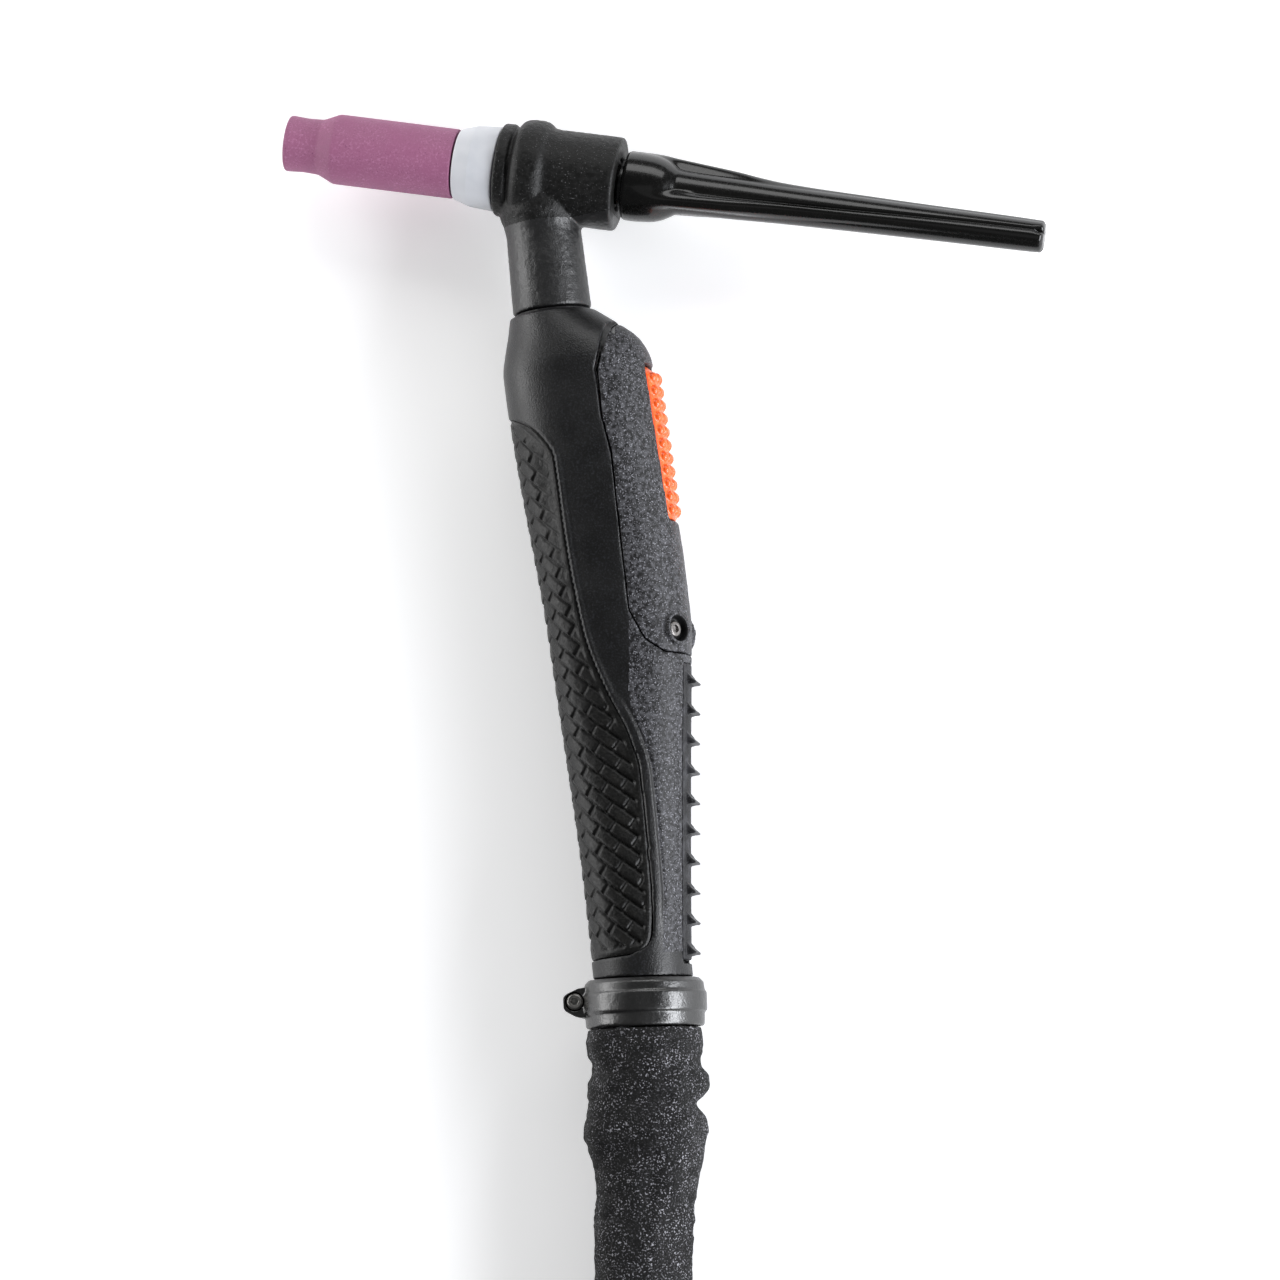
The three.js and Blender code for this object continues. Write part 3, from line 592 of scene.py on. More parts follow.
def mirrored(body):
    """A copy on the other side of the torch's mid-plane."""
    twin = placed("body", body.data.copy())
    twin.data.transform(Matrix.Diagonal((1, 1, -1, 1)))
    twin.data.flip_normals()
    return twin


def softened(body, voxel, passes):
    """Moulded edges: an even mesh of small faces, smoothed a little."""
    remesh = body.modifiers.new("remesh", "REMESH")
    remesh.mode = "VOXEL"
    remesh.voxel_size = voxel
    smooth = body.modifiers.new("smooth", "SMOOTH")
    smooth.factor = 0.5
    smooth.iterations = passes
    return bake(body)


def bevelled(body, width):
    bevel = body.modifiers.new("bevel", "BEVEL")
    bevel.width = width
    bevel.segments = 2
    bevel.limit_method = "ANGLE"
    bevel.angle_limit = math.radians(30)
    return bake(body)


def read_from(elements, what):
    values = np.empty(len(elements) * 3)
    elements.foreach_get(what, values)
    return values.reshape(-1, 3)


def coordinates(body):
    return read_from(body.data.vertices, "co")


def face_middles(body):
    return read_from(body.data.polygons, "center")


def lifted(body, height):
    """The body with its points moved along their normals, each by its own height."""
    points = coordinates(body) + read_from(body.data.vertices, "normal") * height[:, None]
    return reshape(body, points)


def reshape(body, points):
    body.data.vertices.foreach_set("co", points.ravel())
    body.data.update()
    return body


def grained(body, size, depth, seed):
    """A cast or moulded grain in the mesh itself."""
    return lifted(body, depth * lumps(coordinates(body), size, seed))


def settle(body, name, place, node, look, sharp=40, rides="root"):
    """Sets a finished body into the frame: its place, material and CAD body, and the node it stands for."""
    body.data.transform(place)
    body.name = name
    body.data.materials.clear()
    body.data.materials.append(LOOKS[look])
    body.data.polygons.foreach_set("use_smooth", [True] * len(body.data.polygons))
    body.data.set_sharp_from_angle(angle=math.radians(sharp))
    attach(body, rides)
    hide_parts(*([node] if isinstance(node, str) else node))
    return body


def second_look(body, look, chosen):
    """Gives the chosen faces another material."""
    body.data.materials.append(LOOKS[look])
    body.data.polygons.foreach_set("material_index", np.asarray(chosen, np.int32))


# ---- cable
def box_middle(node):
    low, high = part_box(node)
    return (low + high) / 2 / MM


COIL_MIDDLE = box_middle("sheath_coil")
TURN_RADIUS = 148
TURN_SPACING = 27.8
TURN_HEIGHT = 15.5
TOP_HEIGHT = TURN_HEIGHT + TURN_SPACING * math.sqrt(3) / 2
TOP_RADIUS = TURN_RADIUS + TURN_SPACING / 2
OUTER_RADIUS = TURN_RADIUS + TURN_SPACING
INNER_RADIUS = TURN_RADIUS - TURN_SPACING
COIL_START = 40      # degrees from +X; the turns go clockwise from there

# Degrees of travel round the coil between which the cable changes lanes.
STEPS_IN = (300, 352)
CLIMBS = (615, 712)
ON_TOP = 800         # from here it lies steady on the two lower lanes
STEPS_DOWN = (895, 975)
COIL_TRAVEL = 1276
HUMP, HUMP_AT, HUMP_LENGTH = 1.4, 700, 22      # where the climbing turn first lies on the others

SHEATH_ROUTE = [
    (29.85, -120.7, 17), (31.8, -131.2, 16.9), (33.5, -142, 16), (34.9, -153, 14.8), (36.2, -165, 14),
    (37.2, -178, 13.8), (39.3, -191, 13.8), (42.1, -205, 13.8), (45.6, -219, 13.8), (50, -233, 13.8),
    (55.6, -247, 14), (62.6, -261, 14.4), (71.4, -275.5, 14.8),
]
POWER_ROUTE = [
    (-110.6, -8.6, 14), (-109.6, 4, 12), (-104.5, 20, 9), (-95.5, 36, 7.4), (-83.5, 50, 7.2),
    (-68, 64, 7.2), (-49, 75, 7.2), (-26, 82, 7.2), (0, 85, 7.2), (26, 81, 7.2), (50, 69, 7.2),
    (68, 52, 7.2), (79, 30, 7.2), (83, 6, 7.2), (79, -18, 7.4), (68, -38, 8.6), (50, -52, 11),
    (32, -57.4, 13.8), (14.3, -58, 15),
]
CONTROL_ROUTE = [
    (-99.6, -9.4, 12), (-99, 2, 9), (-95, 16, 5.6), (-87, 31, 3.7), (-75, 44, 3.5), (-58, 55, 3.5),
    (-38, 63, 3.5), (-16, 67, 3.5), (6, 66, 3.5), (27, 59, 3.5), (43, 46, 3.5), (52, 29, 3.5),
    (55, 12, 3.6), (51, -4, 4.6), (42, -15, 7.2), (28, -19.6, 10.2), (12.3, -20, 11.2),
]


def in_coil(points):
    """Places given from the coil's centre, in the table's frame."""
    return [(COIL_MIDDLE.x + x, COIL_MIDDLE.y + y, z) for x, y, z in points]


def coil_turn(travel):
    """The radius and height of the cable after that many degrees of travel round the coil."""
    if travel < STEPS_IN[1]:
        return OUTER_RADIUS - TURN_SPACING * eased(travel, *STEPS_IN), TURN_HEIGHT
    if travel < ON_TOP:
        climb = eased(travel, *CLIMBS)
        hump = HUMP * bell(travel, HUMP_AT, HUMP_LENGTH)
        height = TURN_HEIGHT + climb * (TOP_HEIGHT - TURN_HEIGHT) + hump * (travel >= CLIMBS[0])
        return TURN_RADIUS + climb * TURN_SPACING / 2, height
    lean = math.radians(60 + 120 * eased(travel, *STEPS_DOWN))
    return TURN_RADIUS + TURN_SPACING * math.cos(lean), TURN_HEIGHT + TURN_SPACING * math.sin(lean)


def sheath_line():
    """From the collar along the table and three and a half times round the coil."""
    round_points = []
    for travel in range(0, COIL_TRAVEL, 5):
        radius, height = coil_turn(travel)
        angle = math.radians(COIL_START - travel)
        round_points.append((radius * math.cos(angle), radius * math.sin(angle), height))
    line = line_through(SHEATH_ROUTE + in_coil(round_points), 0.25)
    return respaced(line, lambda distance: 0.45 + 1.7 * float(eased(distance, 75, 130)))


def tube_rings(line, radius, sides):
    """Rings of points round a line. radius may be a number or one value for each point of each ring."""
    along = np.gradient(line, axis=0)
    along /= np.linalg.norm(along, axis=1, keepdims=True)
    across = np.cross(along, (0, 0, 1))
    across /= np.linalg.norm(across, axis=1, keepdims=True)
    up = np.cross(across, along)
    turn = round_turn(sides)
    spokes = across[:, None] * np.cos(turn)[:, None] + up[:, None] * np.sin(turn)[:, None]
    return line[:, None] + spokes * np.asarray(radius)[..., None]


def unrolled(distance, turn, radius):
    """Places on a tube's skin as if the tube were straight, for noise that runs along it."""
    return np.stack(np.broadcast_arrays(distance, radius * np.cos(turn), radius * np.sin(turn)), axis=-1)


SHEATH_SIDES = 112
TABLE_GAP = 0.35
RIGHT, TOP, LEFT = 180, 90, 0      # directions round the sheath, in degrees, seen from the collar
SHEATH_GIRTH = [      # distance from the collar, radius
    (0, 15.7), (4, 16), (9, 15.3), (14, 15.4), (20, 15.2), (28, 15.5), (36, 14.6), (46, 13.3),
    (60, 13.2), (90, 13.4), (4000, 13.4),
]
FOLDS = [      # distance from the collar, half length, side, half width in degrees, height
    (9.5, 3.0, RIGHT, 60, -0.9), (14.5, 3.4, RIGHT, 55, 1.1), (20.5, 2.2, RIGHT, 60, -2.0),
    (26, 3.4, RIGHT, 60, 0.5), (11, 2.6, LEFT, 60, -1.0), (17, 4.0, LEFT, 50, 0.8),
    (27, 6.5, LEFT, 45, 1.5), (38, 3.0, LEFT, 50, -0.8), (16, 3.0, TOP, 28, -1.1),
    (24, 2.6, TOP + 25, 30, 0.9), (33, 2.8, TOP - 20, 26, -0.8),
]


def sheath_radius(line):
    """The wrinkled sheath: full at the collar, drawn in by folds, then snug on the cable."""
    distance = lengths_along(line)[:, None]
    turn = round_turn(SHEATH_SIDES, 360)[None, :]
    near = 1 - eased(distance, 45, 90)
    radius = smooth_curve(distance, SHEATH_GIRTH) + 0 * turn
    for middle, length, facing, width, height in FOLDS:
        radius += height * bell(distance, middle, length) * bell(off_by(turn, facing), 0, width)
    wrap = unrolled(distance, np.radians(turn), 13)
    radius += (0.25 + 0.6 * near) * lumps(wrap * (0.35, 1, 1) + 40, 4.5, 3)
    radius += (0.12 + 0.33 * near) * lumps(wrap * (1, 0.5, 0.5) + 90, 1.9, 5)
    radius += 0.10 * near * lumps(wrap, 0.8, 8)
    return radius + seam_flap(distance, turn, near)


def seam_flap(distance, turn, near):
    """The sheath's closing seam: an overlap with a raised edge that runs its whole length."""
    edge = 24 + 3.5 * lumps(distance[..., None] * (1, 0, 0), 16, 11)
    off = off_by(turn, edge)
    overlap = eased(off, -2, 2) * (1 - eased(off, 26, 58))
    stitched = bell(off, 9, 2.2) * (0.5 + 0.5 * np.cos(2 * PI * distance / 3.2)) ** 2
    lift = 1 + 1.2 * near * bell(distance, 28, 8)
    return 0.75 * overlap * lift - 0.25 * stitched - 0.5 * bell(off, -3, 2.5)


def make_sheath():
    line = sheath_line()
    rings = tube_rings(line, sheath_radius(line), SHEATH_SIDES)
    rings[..., 2] = np.maximum(rings[..., 2], TABLE_GAP)
    nodes = ("sheath_run", "sheath_coil", "sheath_last_turn")
    return settle(skinned(rings), "cable_sheath", TABLE, nodes, "sheath_hide", 180), line


def make_tail(name, route, radius, node):
    """A rubber-covered lead from the boot to its plug."""
    line = line_through(in_coil(route), 1.2)
    turn = round_turn(40)
    wrap = unrolled(lengths_along(line)[:, None], turn[None, :], radius)
    tail = skinned(tube_rings(line, radius - 0.05 + 0.05 * lumps(wrap, 7, 21), turn.size))
    return settle(tail, name, TABLE, node, "cable_rubber", 180), line


# ---- head
NECK_TURN = turned_by(HANDLE_LEAN)
NECK_START = 14.5      # from the head's line; from there on the skin is smoother


def make_nozzle():
    nozzle = turned([
        (-71, 5.5), (-71, 7.5), (-70.4, 7.8), (-66, 7.5), (-61.5, 7.7), (-57, 9.75), (-23.3, 9.7),
        (-23, 9.4), (-23, 6.9), (-52, 6.9), (-58, 5.5),
    ], 192, 0.7)
    settle(nozzle, "alumina_nozzle", HEAD, "gas_nozzle", "alumina", rides="gas_nozzle")


def make_insulator():
    ring = turned([
        (-22.5, 6.8), (-22.5, 9.5), (-22.1, 9.9), (-17.8, 11.3), (-11.0, 11.8), (-10.7, 11.6), (-10.7, 6.8),
    ], 192, 0.25)
    settle(ring, "ptfe_insulator", HEAD, "insulator_ring", "ptfe")


def make_head_cover():
    barrel = turned([
        (-10.4, 0), (-10.4, 12.6), (-10, 12.95), (-7.1, 12.95), (-6.7, 12.0), (-5.8, 12.0), (-5.3, 13.6),
        (-3.9, 14.6), (-2.6, 14.85), (0.8, 14.9), (2.3, 14.4), (3.6, 13.2), (5.6, 13), (22.9, 13),
        (23.4, 12.5), (23.4, 0),
    ], 160, 0.6)
    neck = turned([
        (0, 0), (0, 11.6), (11.5, 11.6), (13.5, 10.9), (17, 10.35), (39, 10.9), (39, 9), (52, 9), (52, 0),
    ], 160, 1.0)
    cover = join(barrel, moved(neck, NECK_TURN))
    neck_bore = moved(rod((4, 53), 6.9, 96), NECK_TURN)
    cover = cut(cover, rod((-11.4, 20.3), 9.9, 96), rod((19, 24.4), 7.5, 96), neck_bore)
    cover = grained(softened(cover, 0.36, 7), 0.95, 0.07, 31)
    lean = math.radians(HANDLE_LEAN)
    along_neck = face_middles(cover) @ np.array((math.cos(lean), math.sin(lean), 0))
    settle(cover, "head_moulding", HEAD, "head_cover", "moulded_black", 50)
    second_look(cover, "neck_black", along_neck > NECK_START)


CAP_CORE = [(26, 9.65), (28, 9.65), (33, 9.3), (36, 8.5), (38.5, 7.2), (40.2, 6.3), (46, 5.95), (56, 5.7),
            (69, 5.3), (92, 4.9), (106, 4.7), (135, 4.4), (141, 4.3)]
CAP_RIDGE = [(26, 9.65), (31, 9.7), (34, 9.6), (39, 9.05), (46, 8.4), (56, 7.45), (62.5, 6.6), (69, 6.0),
             (79, 5.6), (92, 5.35), (106, 5.1), (132, 4.8), (141, 4.6)]
CAP_BASE = [(25.4, 9.4), (25.1, 9.0), (25, 8.6), (25, 6.7), (23.9, 6.7), (23.9, 5.5), (9, 5.5), (9, 1.9),
            (137, 1.9)]
CAP_SIDES = 288


def cap_radius(along, turn):
    """The cap's skin: a tapering rod with three ridges, each with a fine groove along one side."""
    core = smooth_curve(along, CAP_CORE)
    ridge = smooth_curve(along, CAP_RIDGE)
    drift = 20 * eased(along, 50, 142)
    radius = core + 0 * turn
    for middle in (90, -30 + drift, -150 + drift):
        off = np.radians(off_by(turn, middle)) * core
        radius += (ridge - core) * (1 - eased(np.abs(off), 0.4, 3.2 - 1.2 * eased(along, 60, 90)))
        radius -= 0.55 * eased(along, 41, 48) * bell(off, 2.2, 0.45)
        radius -= eased(along, 139.4, 140.2) * bell(off, 2.2, 0.8)
    return radius


def make_back_cap():
    turn = round_turn(CAP_SIDES, 360)
    along = np.concatenate([[141.4], np.arange(141, 72, -0.8), np.arange(72, 26, -0.4), [26]])
    skin = cap_radius(along[:, None], turn[None, :])
    skin[0] -= 0.25
    rings = [(142, np.full(CAP_SIDES, 0.4)), (142, skin[0] - 1.4), (141.9, skin[0] - 0.7)]
    rings += list(zip(along, skin))
    rings += [(x, np.full(CAP_SIDES, radius)) for x, radius in CAP_BASE]
    angle = np.radians(turn)
    points = [np.column_stack([np.full(CAP_SIDES, x), radius * np.sin(angle), radius * np.cos(angle)])
              for x, radius in rings]
    settle(skinned(points), "long_back_cap", HEAD, "back_cap", "gloss_black", 38, rides="back_cap")


# ---- handle shape
HANDLE_STATIONS = [      # along, palm side, trigger side, half width, squareness
    (39.9, -11.9, 11.9, 11.9, 2.0), (44, -12.7, 17.2, 13.6, 2.1), (50, -14.2, 23.6, 15.6, 2.3),
    (56, -15.3, 25.8, 16.7, 2.4), (72, -14.9, 26.6, 17.0, 2.4), (92, -13.7, 27.5, 17.0, 2.4),
    (112, -12.1, 28.5, 16.5, 2.4), (128, -11.1, 28.6, 15.8, 2.4), (140, -10.7, 27.4, 15.4, 2.4),
    (164, -9.8, 24.6, 15.0, 2.3), (194, -8.9, 21.2, 14.8, 2.2), (222, -8.8, 18.2, 14.8, 2.1),
]
OUTLINE = [[(row[0], row[column]) for row in HANDLE_STATIONS] for column in (1, 2, 3, 4)]
FRONT = OUTLINE[1]
HANDLE_START = HANDLE_STATIONS[0][0]
SHELL_END = 223.9
SIDEWAYS = (-25, 25)      # across the whole handle
PAD_EDGE = [
    (67.9, -15.5), (69, -13), (74, -6), (82, -1.6), (105, -1), (130, 1), (146, 5.2), (160, 10.4), (170, 12.2),
    (200, 11.6), (213, 10.2), (216, 9.2), (217.6, 7.2), (218.5, 4.2),
]
PAD_START, PAD_END = PAD_EDGE[0][0], PAD_EDGE[-1][0]
HOUSING_EDGE = [
    (42.6, 30), (43.8, 21.4), (46.8, 16.9), (59.0, 12.9), (71.6, 12.7), (82.2, 14.2), (125.8, 14.2),
    (133.8, 17.4), (137.6, 22.2), (139.1, 34),
]
HOUSING_BED = [
    (41.7, 30), (42.7, 21), (45.6, 15.8), (58.6, 12.1), (71.6, 12.4), (82.2, 13.9), (125.9, 13.9),
    (134, 17.2), (137.9, 22.0), (139.4, 34),
]
# Edge of the coarse-grained skin by the strip; the paler speckled grey given there is partly real grain and
# partly a painted highlight.
GRAIN_AND_HIGHLIGHT_EDGE = [
    (124, 14), (138, 12.8), (150, 11.4), (160, 13.8), (170, 15.2), (200, 14.6), (213, 13.2), (219, 12.6),
]
PALM = PI
COLLAR_SLOPE = 0.0785      # of the collar's face across the handle


def handle_section(along):
    """The handle's middle, half height, half width and squareness at places along it."""
    palm, front, half_width, squareness = (smooth_curve(along, known) for known in OUTLINE)
    return (front + palm) / 2, (front - palm) / 2, half_width, squareness


def handle_skin(along, turn, inset=0.0):
    """Points of the handle's skin, drawn in by an inset. turn 0 faces the trigger side, PALM the palm."""
    middle, half_height, half_width, squareness = handle_section(along)
    cosine, sine = np.cos(turn), np.sin(turn)
    power = 2 / squareness
    y = middle + (half_height - inset) * np.sign(cosine) * np.abs(cosine) ** power
    z = (half_width - inset) * np.sign(sine) * np.abs(sine) ** power
    return np.stack(np.broadcast_arrays(along, y, z), axis=-1)


def handle_body(inset, start, end):
    step, sides = 2.0, 96
    along = np.linspace(start, end, round((end - start) / step) + 1)[:, None]
    return skinned(handle_skin(along, round_turn(sides)[None, :] + PI / sides, inset))


def depth_in_handle(points):
    """1 on the handle's skin and 0 in its middle."""
    middle, half_height, half_width, squareness = handle_section(points[:, 0])
    y = np.abs(points[:, 1] - middle) / half_height
    z = np.abs(points[:, 2]) / half_width
    return (y ** squareness + z ** squareness) ** (1 / squareness)


def pad_outline(grow):
    along = np.linspace(PAD_START - grow, PAD_END, 90)
    upper = list(zip(along, smooth_curve(along, PAD_EDGE) + grow))
    return upper + [(PAD_END + grow, 3.5), (PAD_END + grow, -24), (PAD_START - grow, -24)]


def beyond_pad_edge(points):
    """How far points lie outside the pad's edge, in the side view."""
    edge = np.array(pad_outline(0)[:-1])
    gaps = np.hypot(points[:, None, 0] - edge[None, :, 0], points[:, None, 1] - edge[None, :, 1])
    inside = points[:, 1] < smooth_curve(points[:, 0], PAD_EDGE)
    return np.where(inside, -1, 1) * gaps.min(axis=1)


def make_shells():
    sleeve_place = shifted(0, 4.7, 0)
    sleeve = moved(rod((218, 236), 11.6, 96, 0.4), sleeve_place)
    body = join(handle_body(0, HANDLE_START, SHELL_END), sleeve)
    pad_bed = cut(slab(pad_outline(0.3), SIDEWAYS), handle_body(2.1, 30, 230))
    strip_bed = cut(block((140.7, 221.3), (8, 34), (-6.3, 6.3)), handle_body(2.1, 130, 230))
    far_half = block((0, 260), (-40, 40), (-40, 0.12))
    body = cut(
        body, handle_body(4.1, 53, 215), slab(HOUSING_BED, SIDEWAYS), pad_bed, strip_bed,
        rod((38, 56), 10.6, 96), moved(rod((210, 237), 10, 96), sleeve_place), far_half,
    )
    left = raised_bead(softened(body, 0.42, 5))
    right = mirrored(left)
    # Real coarse grain, whose paler speckled grey also paints in the highlight on this side.
    coarse = beside_strip(face_middles(left))
    for shell, side in ((left, "left"), (right, "right")):
        node = "handle_shell_" + side
        settle(shell, "handle_side_" + side, HANDLE, node, "smooth_black", 50)
        second_look(shell, "speckled_grey", coarse)


def beside_strip(points):
    """Whether points lie on the skin between the pad's ridge and the strip, which has the coarse grain; its
    paler grey there is also a painted highlight.
    """
    along = points[:, 0]
    past_edge = points[:, 1] > smooth_curve(along, GRAIN_AND_HIGHLIGHT_EDGE)
    within = (along > GRAIN_AND_HIGHLIGHT_EDGE[0][0]) & (along < GRAIN_AND_HIGHLIGHT_EDGE[-1][0])
    return past_edge & within & (depth_in_handle(points) > 0.95)


def raised_bead(shell):
    """The shell with the moulded ridge along the pad, narrow above and a flat band below.

    The shell's lower end also leans to follow the collar.
    """
    spots = coordinates(shell)
    along, depth = spots[:, 0], depth_in_handle(spots)
    near = (depth > 0.9) & (spots[:, 2] > 4) & (along > 70) & (along < 221)
    gap = np.full(len(spots), np.inf)
    gap[near] = beyond_pad_edge(spots[near])
    narrow = 0.6 * bell(gap, 1.0, 0.75) * eased(along, 72, 84) * (1 - eased(along, 144, 154))
    band = 0.5 * eased(gap, -0.4, 0.5) * (1 - eased(gap, 2.3, 2.9)) - 0.25 * bell(gap, 3.2, 0.4)
    band *= eased(along, 146, 156) * (1 - eased(along, 203, 214))
    shell = lifted(shell, narrow + band)
    to_collar = np.clip((along - 219) / 4.9, 0, 1) * (along < 224.2) * (depth > 0.7)
    spots = coordinates(shell)
    spots[:, 0] += to_collar * (0.6 + COLLAR_SLOPE * (spots[:, 1] - SLEEVE_OFFSET))
    return reshape(shell, spots)


HOUSING_SCREW = (131.6, 26.1, 9)
SCREW_TILT = 33      # degrees from the trigger's direction, to either side


def make_housing():
    outside = combine(handle_body(0, HANDLE_START, 150), "INTERSECT", slab(HOUSING_EDGE, SIDEWAYS))
    bosses = [on_screw_axis(rod((-9, 0.5), 4.6, 48), side) for side in (1, -1)]
    housing = cut(outside, block((40, 56), (-12, 18), (-11.2, 11.2)), handle_body(2.4, 53, 215))
    housing = cut(
        join(housing, *bosses), block((57.4, 101.4), (10, 34), (-6.9, 6.9)),
        *[on_screw_axis(rod((-2.4, 6), 3.5, 48), side) for side in (1, -1)],
        *[on_screw_axis(rod((-12, 0), 1.7, 32), side) for side in (1, -1)],
    )
    housing = grained(softened(housing, 0.42, 5), 1.1, 0.05, 17)
    # The screw recesses get a plain darker black instead of the housing's speckled grey: painted shade in the
    # hollows.
    recess_shade = beside_screws(face_middles(housing)) < 3.75
    settle(housing, "speckled_housing", HANDLE, "switch_housing", "speckled_grey", 50)
    second_look(housing, "switch_black", recess_shade)


def beside_screws(points):
    """Distance from the axis of the housing screw on the same side."""
    lean = math.radians(SCREW_TILT)
    along, up, out = HOUSING_SCREW
    up, out = points[:, 1] - up, np.abs(points[:, 2]) - out
    return np.hypot(points[:, 0] - along, out * math.cos(lean) - up * math.sin(lean))


def on_screw_axis(body, side):
    """A piece drawn along X is set on the housing screw's axis on one side of the handle."""
    along, up, out = HOUSING_SCREW
    return moved(body, turned_by(90), turned_by(SCREW_TILT * side, "X"), shifted(along, up, out * side))


def make_housing_screws():
    profile = [(-9, 0), (-9, 1.3), (-2.1, 1.3), (-2.1, 2.3), (-1.1, 2.3), (-0.7, 1.9), (-0.7, 0)]
    for side, name in ((1, "left"), (-1, "right")):
        screw = bevelled(cut(turned(profile, 64, 0.2), rod((-1.7, 1), 1.15, 6)), 0.06)
        node = "housing_screw_" + name
        settle(on_screw_axis(screw, side), "cap_screw_" + name, HANDLE, node, "dark_steel")


# ---- grip pad and rib strip
RIB_PITCH = 5.15
RIB_LEAN = 0.87
BRICK_LENGTH = 7.6
PAD_THICKNESS = 1.75
PAD_ROWS, PAD_COLUMNS = 400, 230
STRIP_START, STRIP_END = 141, 221
FIN_COUNT = 10
FIN_START = 146
FIN_PITCH = 8.14
FIN = [(-3.0, -1), (-2.8, -0.2), (-1.1, 0.9), (0.1, 2.1), (0.6, 2.1), (0.6, -1)]      # from its root


def tread(along, across):
    """Height of the pad's brick tread, 0 in the grooves and 1 on the bricks' raised corners."""
    row = (along - RIB_LEAN * across) / RIB_PITCH
    share = row % 1
    brick = (RIB_LEAN * along + across) / math.hypot(RIB_LEAN, 1) / BRICK_LENGTH
    brick += 0.45 * (np.floor(row) % 2)
    rise = eased(share, 0.08, 0.2) * (1 - eased(share, 0.9, 1.0))
    slope = 0.55 + 0.45 * eased(share, 0.15, 0.85)
    notch = bell((brick % 1 - 0.5) * BRICK_LENGTH, 0, 0.42)
    return rise * slope * (1 - 0.6 * notch)


def pad_height(along, around, skin):
    """The pad's tread and border, from the handle's skin. around is the distance from the palm's middle."""
    to_edge = np.abs(around[:, :1]) - np.abs(around)
    to_end = np.minimum(along - PAD_START, PAD_END - 0.1 - along)
    border = np.minimum(to_edge, to_end)
    patterned = eased(border, 1.4, 2.6)
    patterned *= 1 - 0.75 * (1 - eased(along, 96, 122)) * (1 - eased(to_edge, 4, 8))
    height = -0.12 - 0.275 * (1 - eased(border, 0, 0.7))
    height -= 1.05 * patterned * (1 - tread(along, np.abs(around) - 14))
    height -= 0.5 * (1 - eased(along, 96, 118)) * bell(to_edge, 4, 2.6)
    return height + 0.05 * lumps(skin, 1.1, 51)


def make_grip_pad():
    along = np.linspace(PAD_START + 0.4, PAD_END - 0.1, PAD_ROWS)[:, None]
    middle, half_height, _, squareness = handle_section(along)
    level = np.maximum((smooth_curve(along, PAD_EDGE) - middle) / half_height, -0.999)
    edge = np.arccos(np.sign(level) * np.abs(level) ** (squareness / 2))
    turn = PALM + np.linspace(-1, 1, PAD_COLUMNS)[None, :] * (PALM - edge)
    skin = handle_skin(along, turn)
    steps = np.linalg.norm(np.diff(skin, axis=1), axis=2)
    around = np.concatenate([np.zeros((PAD_ROWS, 1)), np.cumsum(steps, axis=1)], axis=1)
    around -= around[:, -1:] / 2
    normal = np.cross(np.gradient(skin, axis=0), np.gradient(skin, axis=1))
    normal /= np.linalg.norm(normal, axis=2, keepdims=True) + 1e-9
    axis = np.stack([along, middle, 0 * along], axis=2)
    normal *= np.sign((normal * (skin - axis)).sum(axis=2, keepdims=True))
    top = skin + normal * pad_height(along, around, skin)[..., None]
    pad = plate(top, handle_skin(along, turn, PAD_THICKNESS))
    settle(pad, "tread_pad", HANDLE, "grip_pad", "pad_rubber", 55)


def make_rib_strip():
    bounds = block((STRIP_START, STRIP_END), (8, 34), (-6, 6))
    strip = combine(handle_body(0.1, 130, 230), "INTERSECT", bounds)
    bodies = [cut(strip, handle_body(1.8, 125, 235))]
    for i in range(FIN_COUNT):
        along = FIN_START + i * FIN_PITCH
        base = float(smooth_curve(along, FRONT))
        bodies.append(slab(rounded([(along + x, base + y) for x, y in FIN], 0.15), (-5, 5)))
    strip = softened(gathered(bodies), 0.3, 2)
    spots = coordinates(strip)
    base = smooth_curve(spots[:, 0], FRONT)
    on_face = eased(spots[:, 1], base - 1.4, base - 0.8) * (1 - eased(spots[:, 1], base + 0.3, base + 0.6))
    fine_ribs = 0.09 * np.cos(2 * PI * spots[:, 2] / 1.1)
    strip = lifted(strip, fine_ribs * on_face)
    settle(strip, "finned_strip", HANDLE, "rib_strip", "strip_rubber", 45)


# ---- trigger
TRIGGER_START, TRIGGER_END = 57.9, 100.9
TRIGGER_HALF_WIDTH = 6.5
TRIGGER_UNDERSIDE = 19.4
STUD_START = 61.4
STUD_COUNT = 11
STUD_PITCH = 3.7
STUD_ROWS = (-4.2, -1.4, 1.4, 4.2)
STUD_RADIUS = 1.45
STUD_HEIGHT = 1.05


def trigger_face(along, z):
    """Height of the trigger's crowned face before its studs."""
    ends = 3.2 * (1 - eased(along, 56.6, 61)) + 1.2 * (1 - eased(101.6 - along, 0, 2.4))
    rise = 1.3 * (along - TRIGGER_START) / (TRIGGER_END - TRIGGER_START)
    return 27.0 + rise - 2.6 * (np.abs(z) / TRIGGER_HALF_WIDTH) ** 3 - ends


def make_stud(along, z):
    dome = [(STUD_HEIGHT * math.sin(a), STUD_RADIUS * math.cos(a)) for a in np.linspace(0, 1.3, 7)]
    stud = turned([(-1.2, 0), (-1.2, STUD_RADIUS)] + dome + [(STUD_HEIGHT, 0)], 28, 0)
    slope = 2.6 * 3 / TRIGGER_HALF_WIDTH * (z / TRIGGER_HALF_WIDTH) ** 2
    tilt = turned_by(math.copysign(math.degrees(math.atan(slope)), z), "X")
    return moved(stud, turned_by(90), tilt, shifted(along, float(trigger_face(along, z)), z))


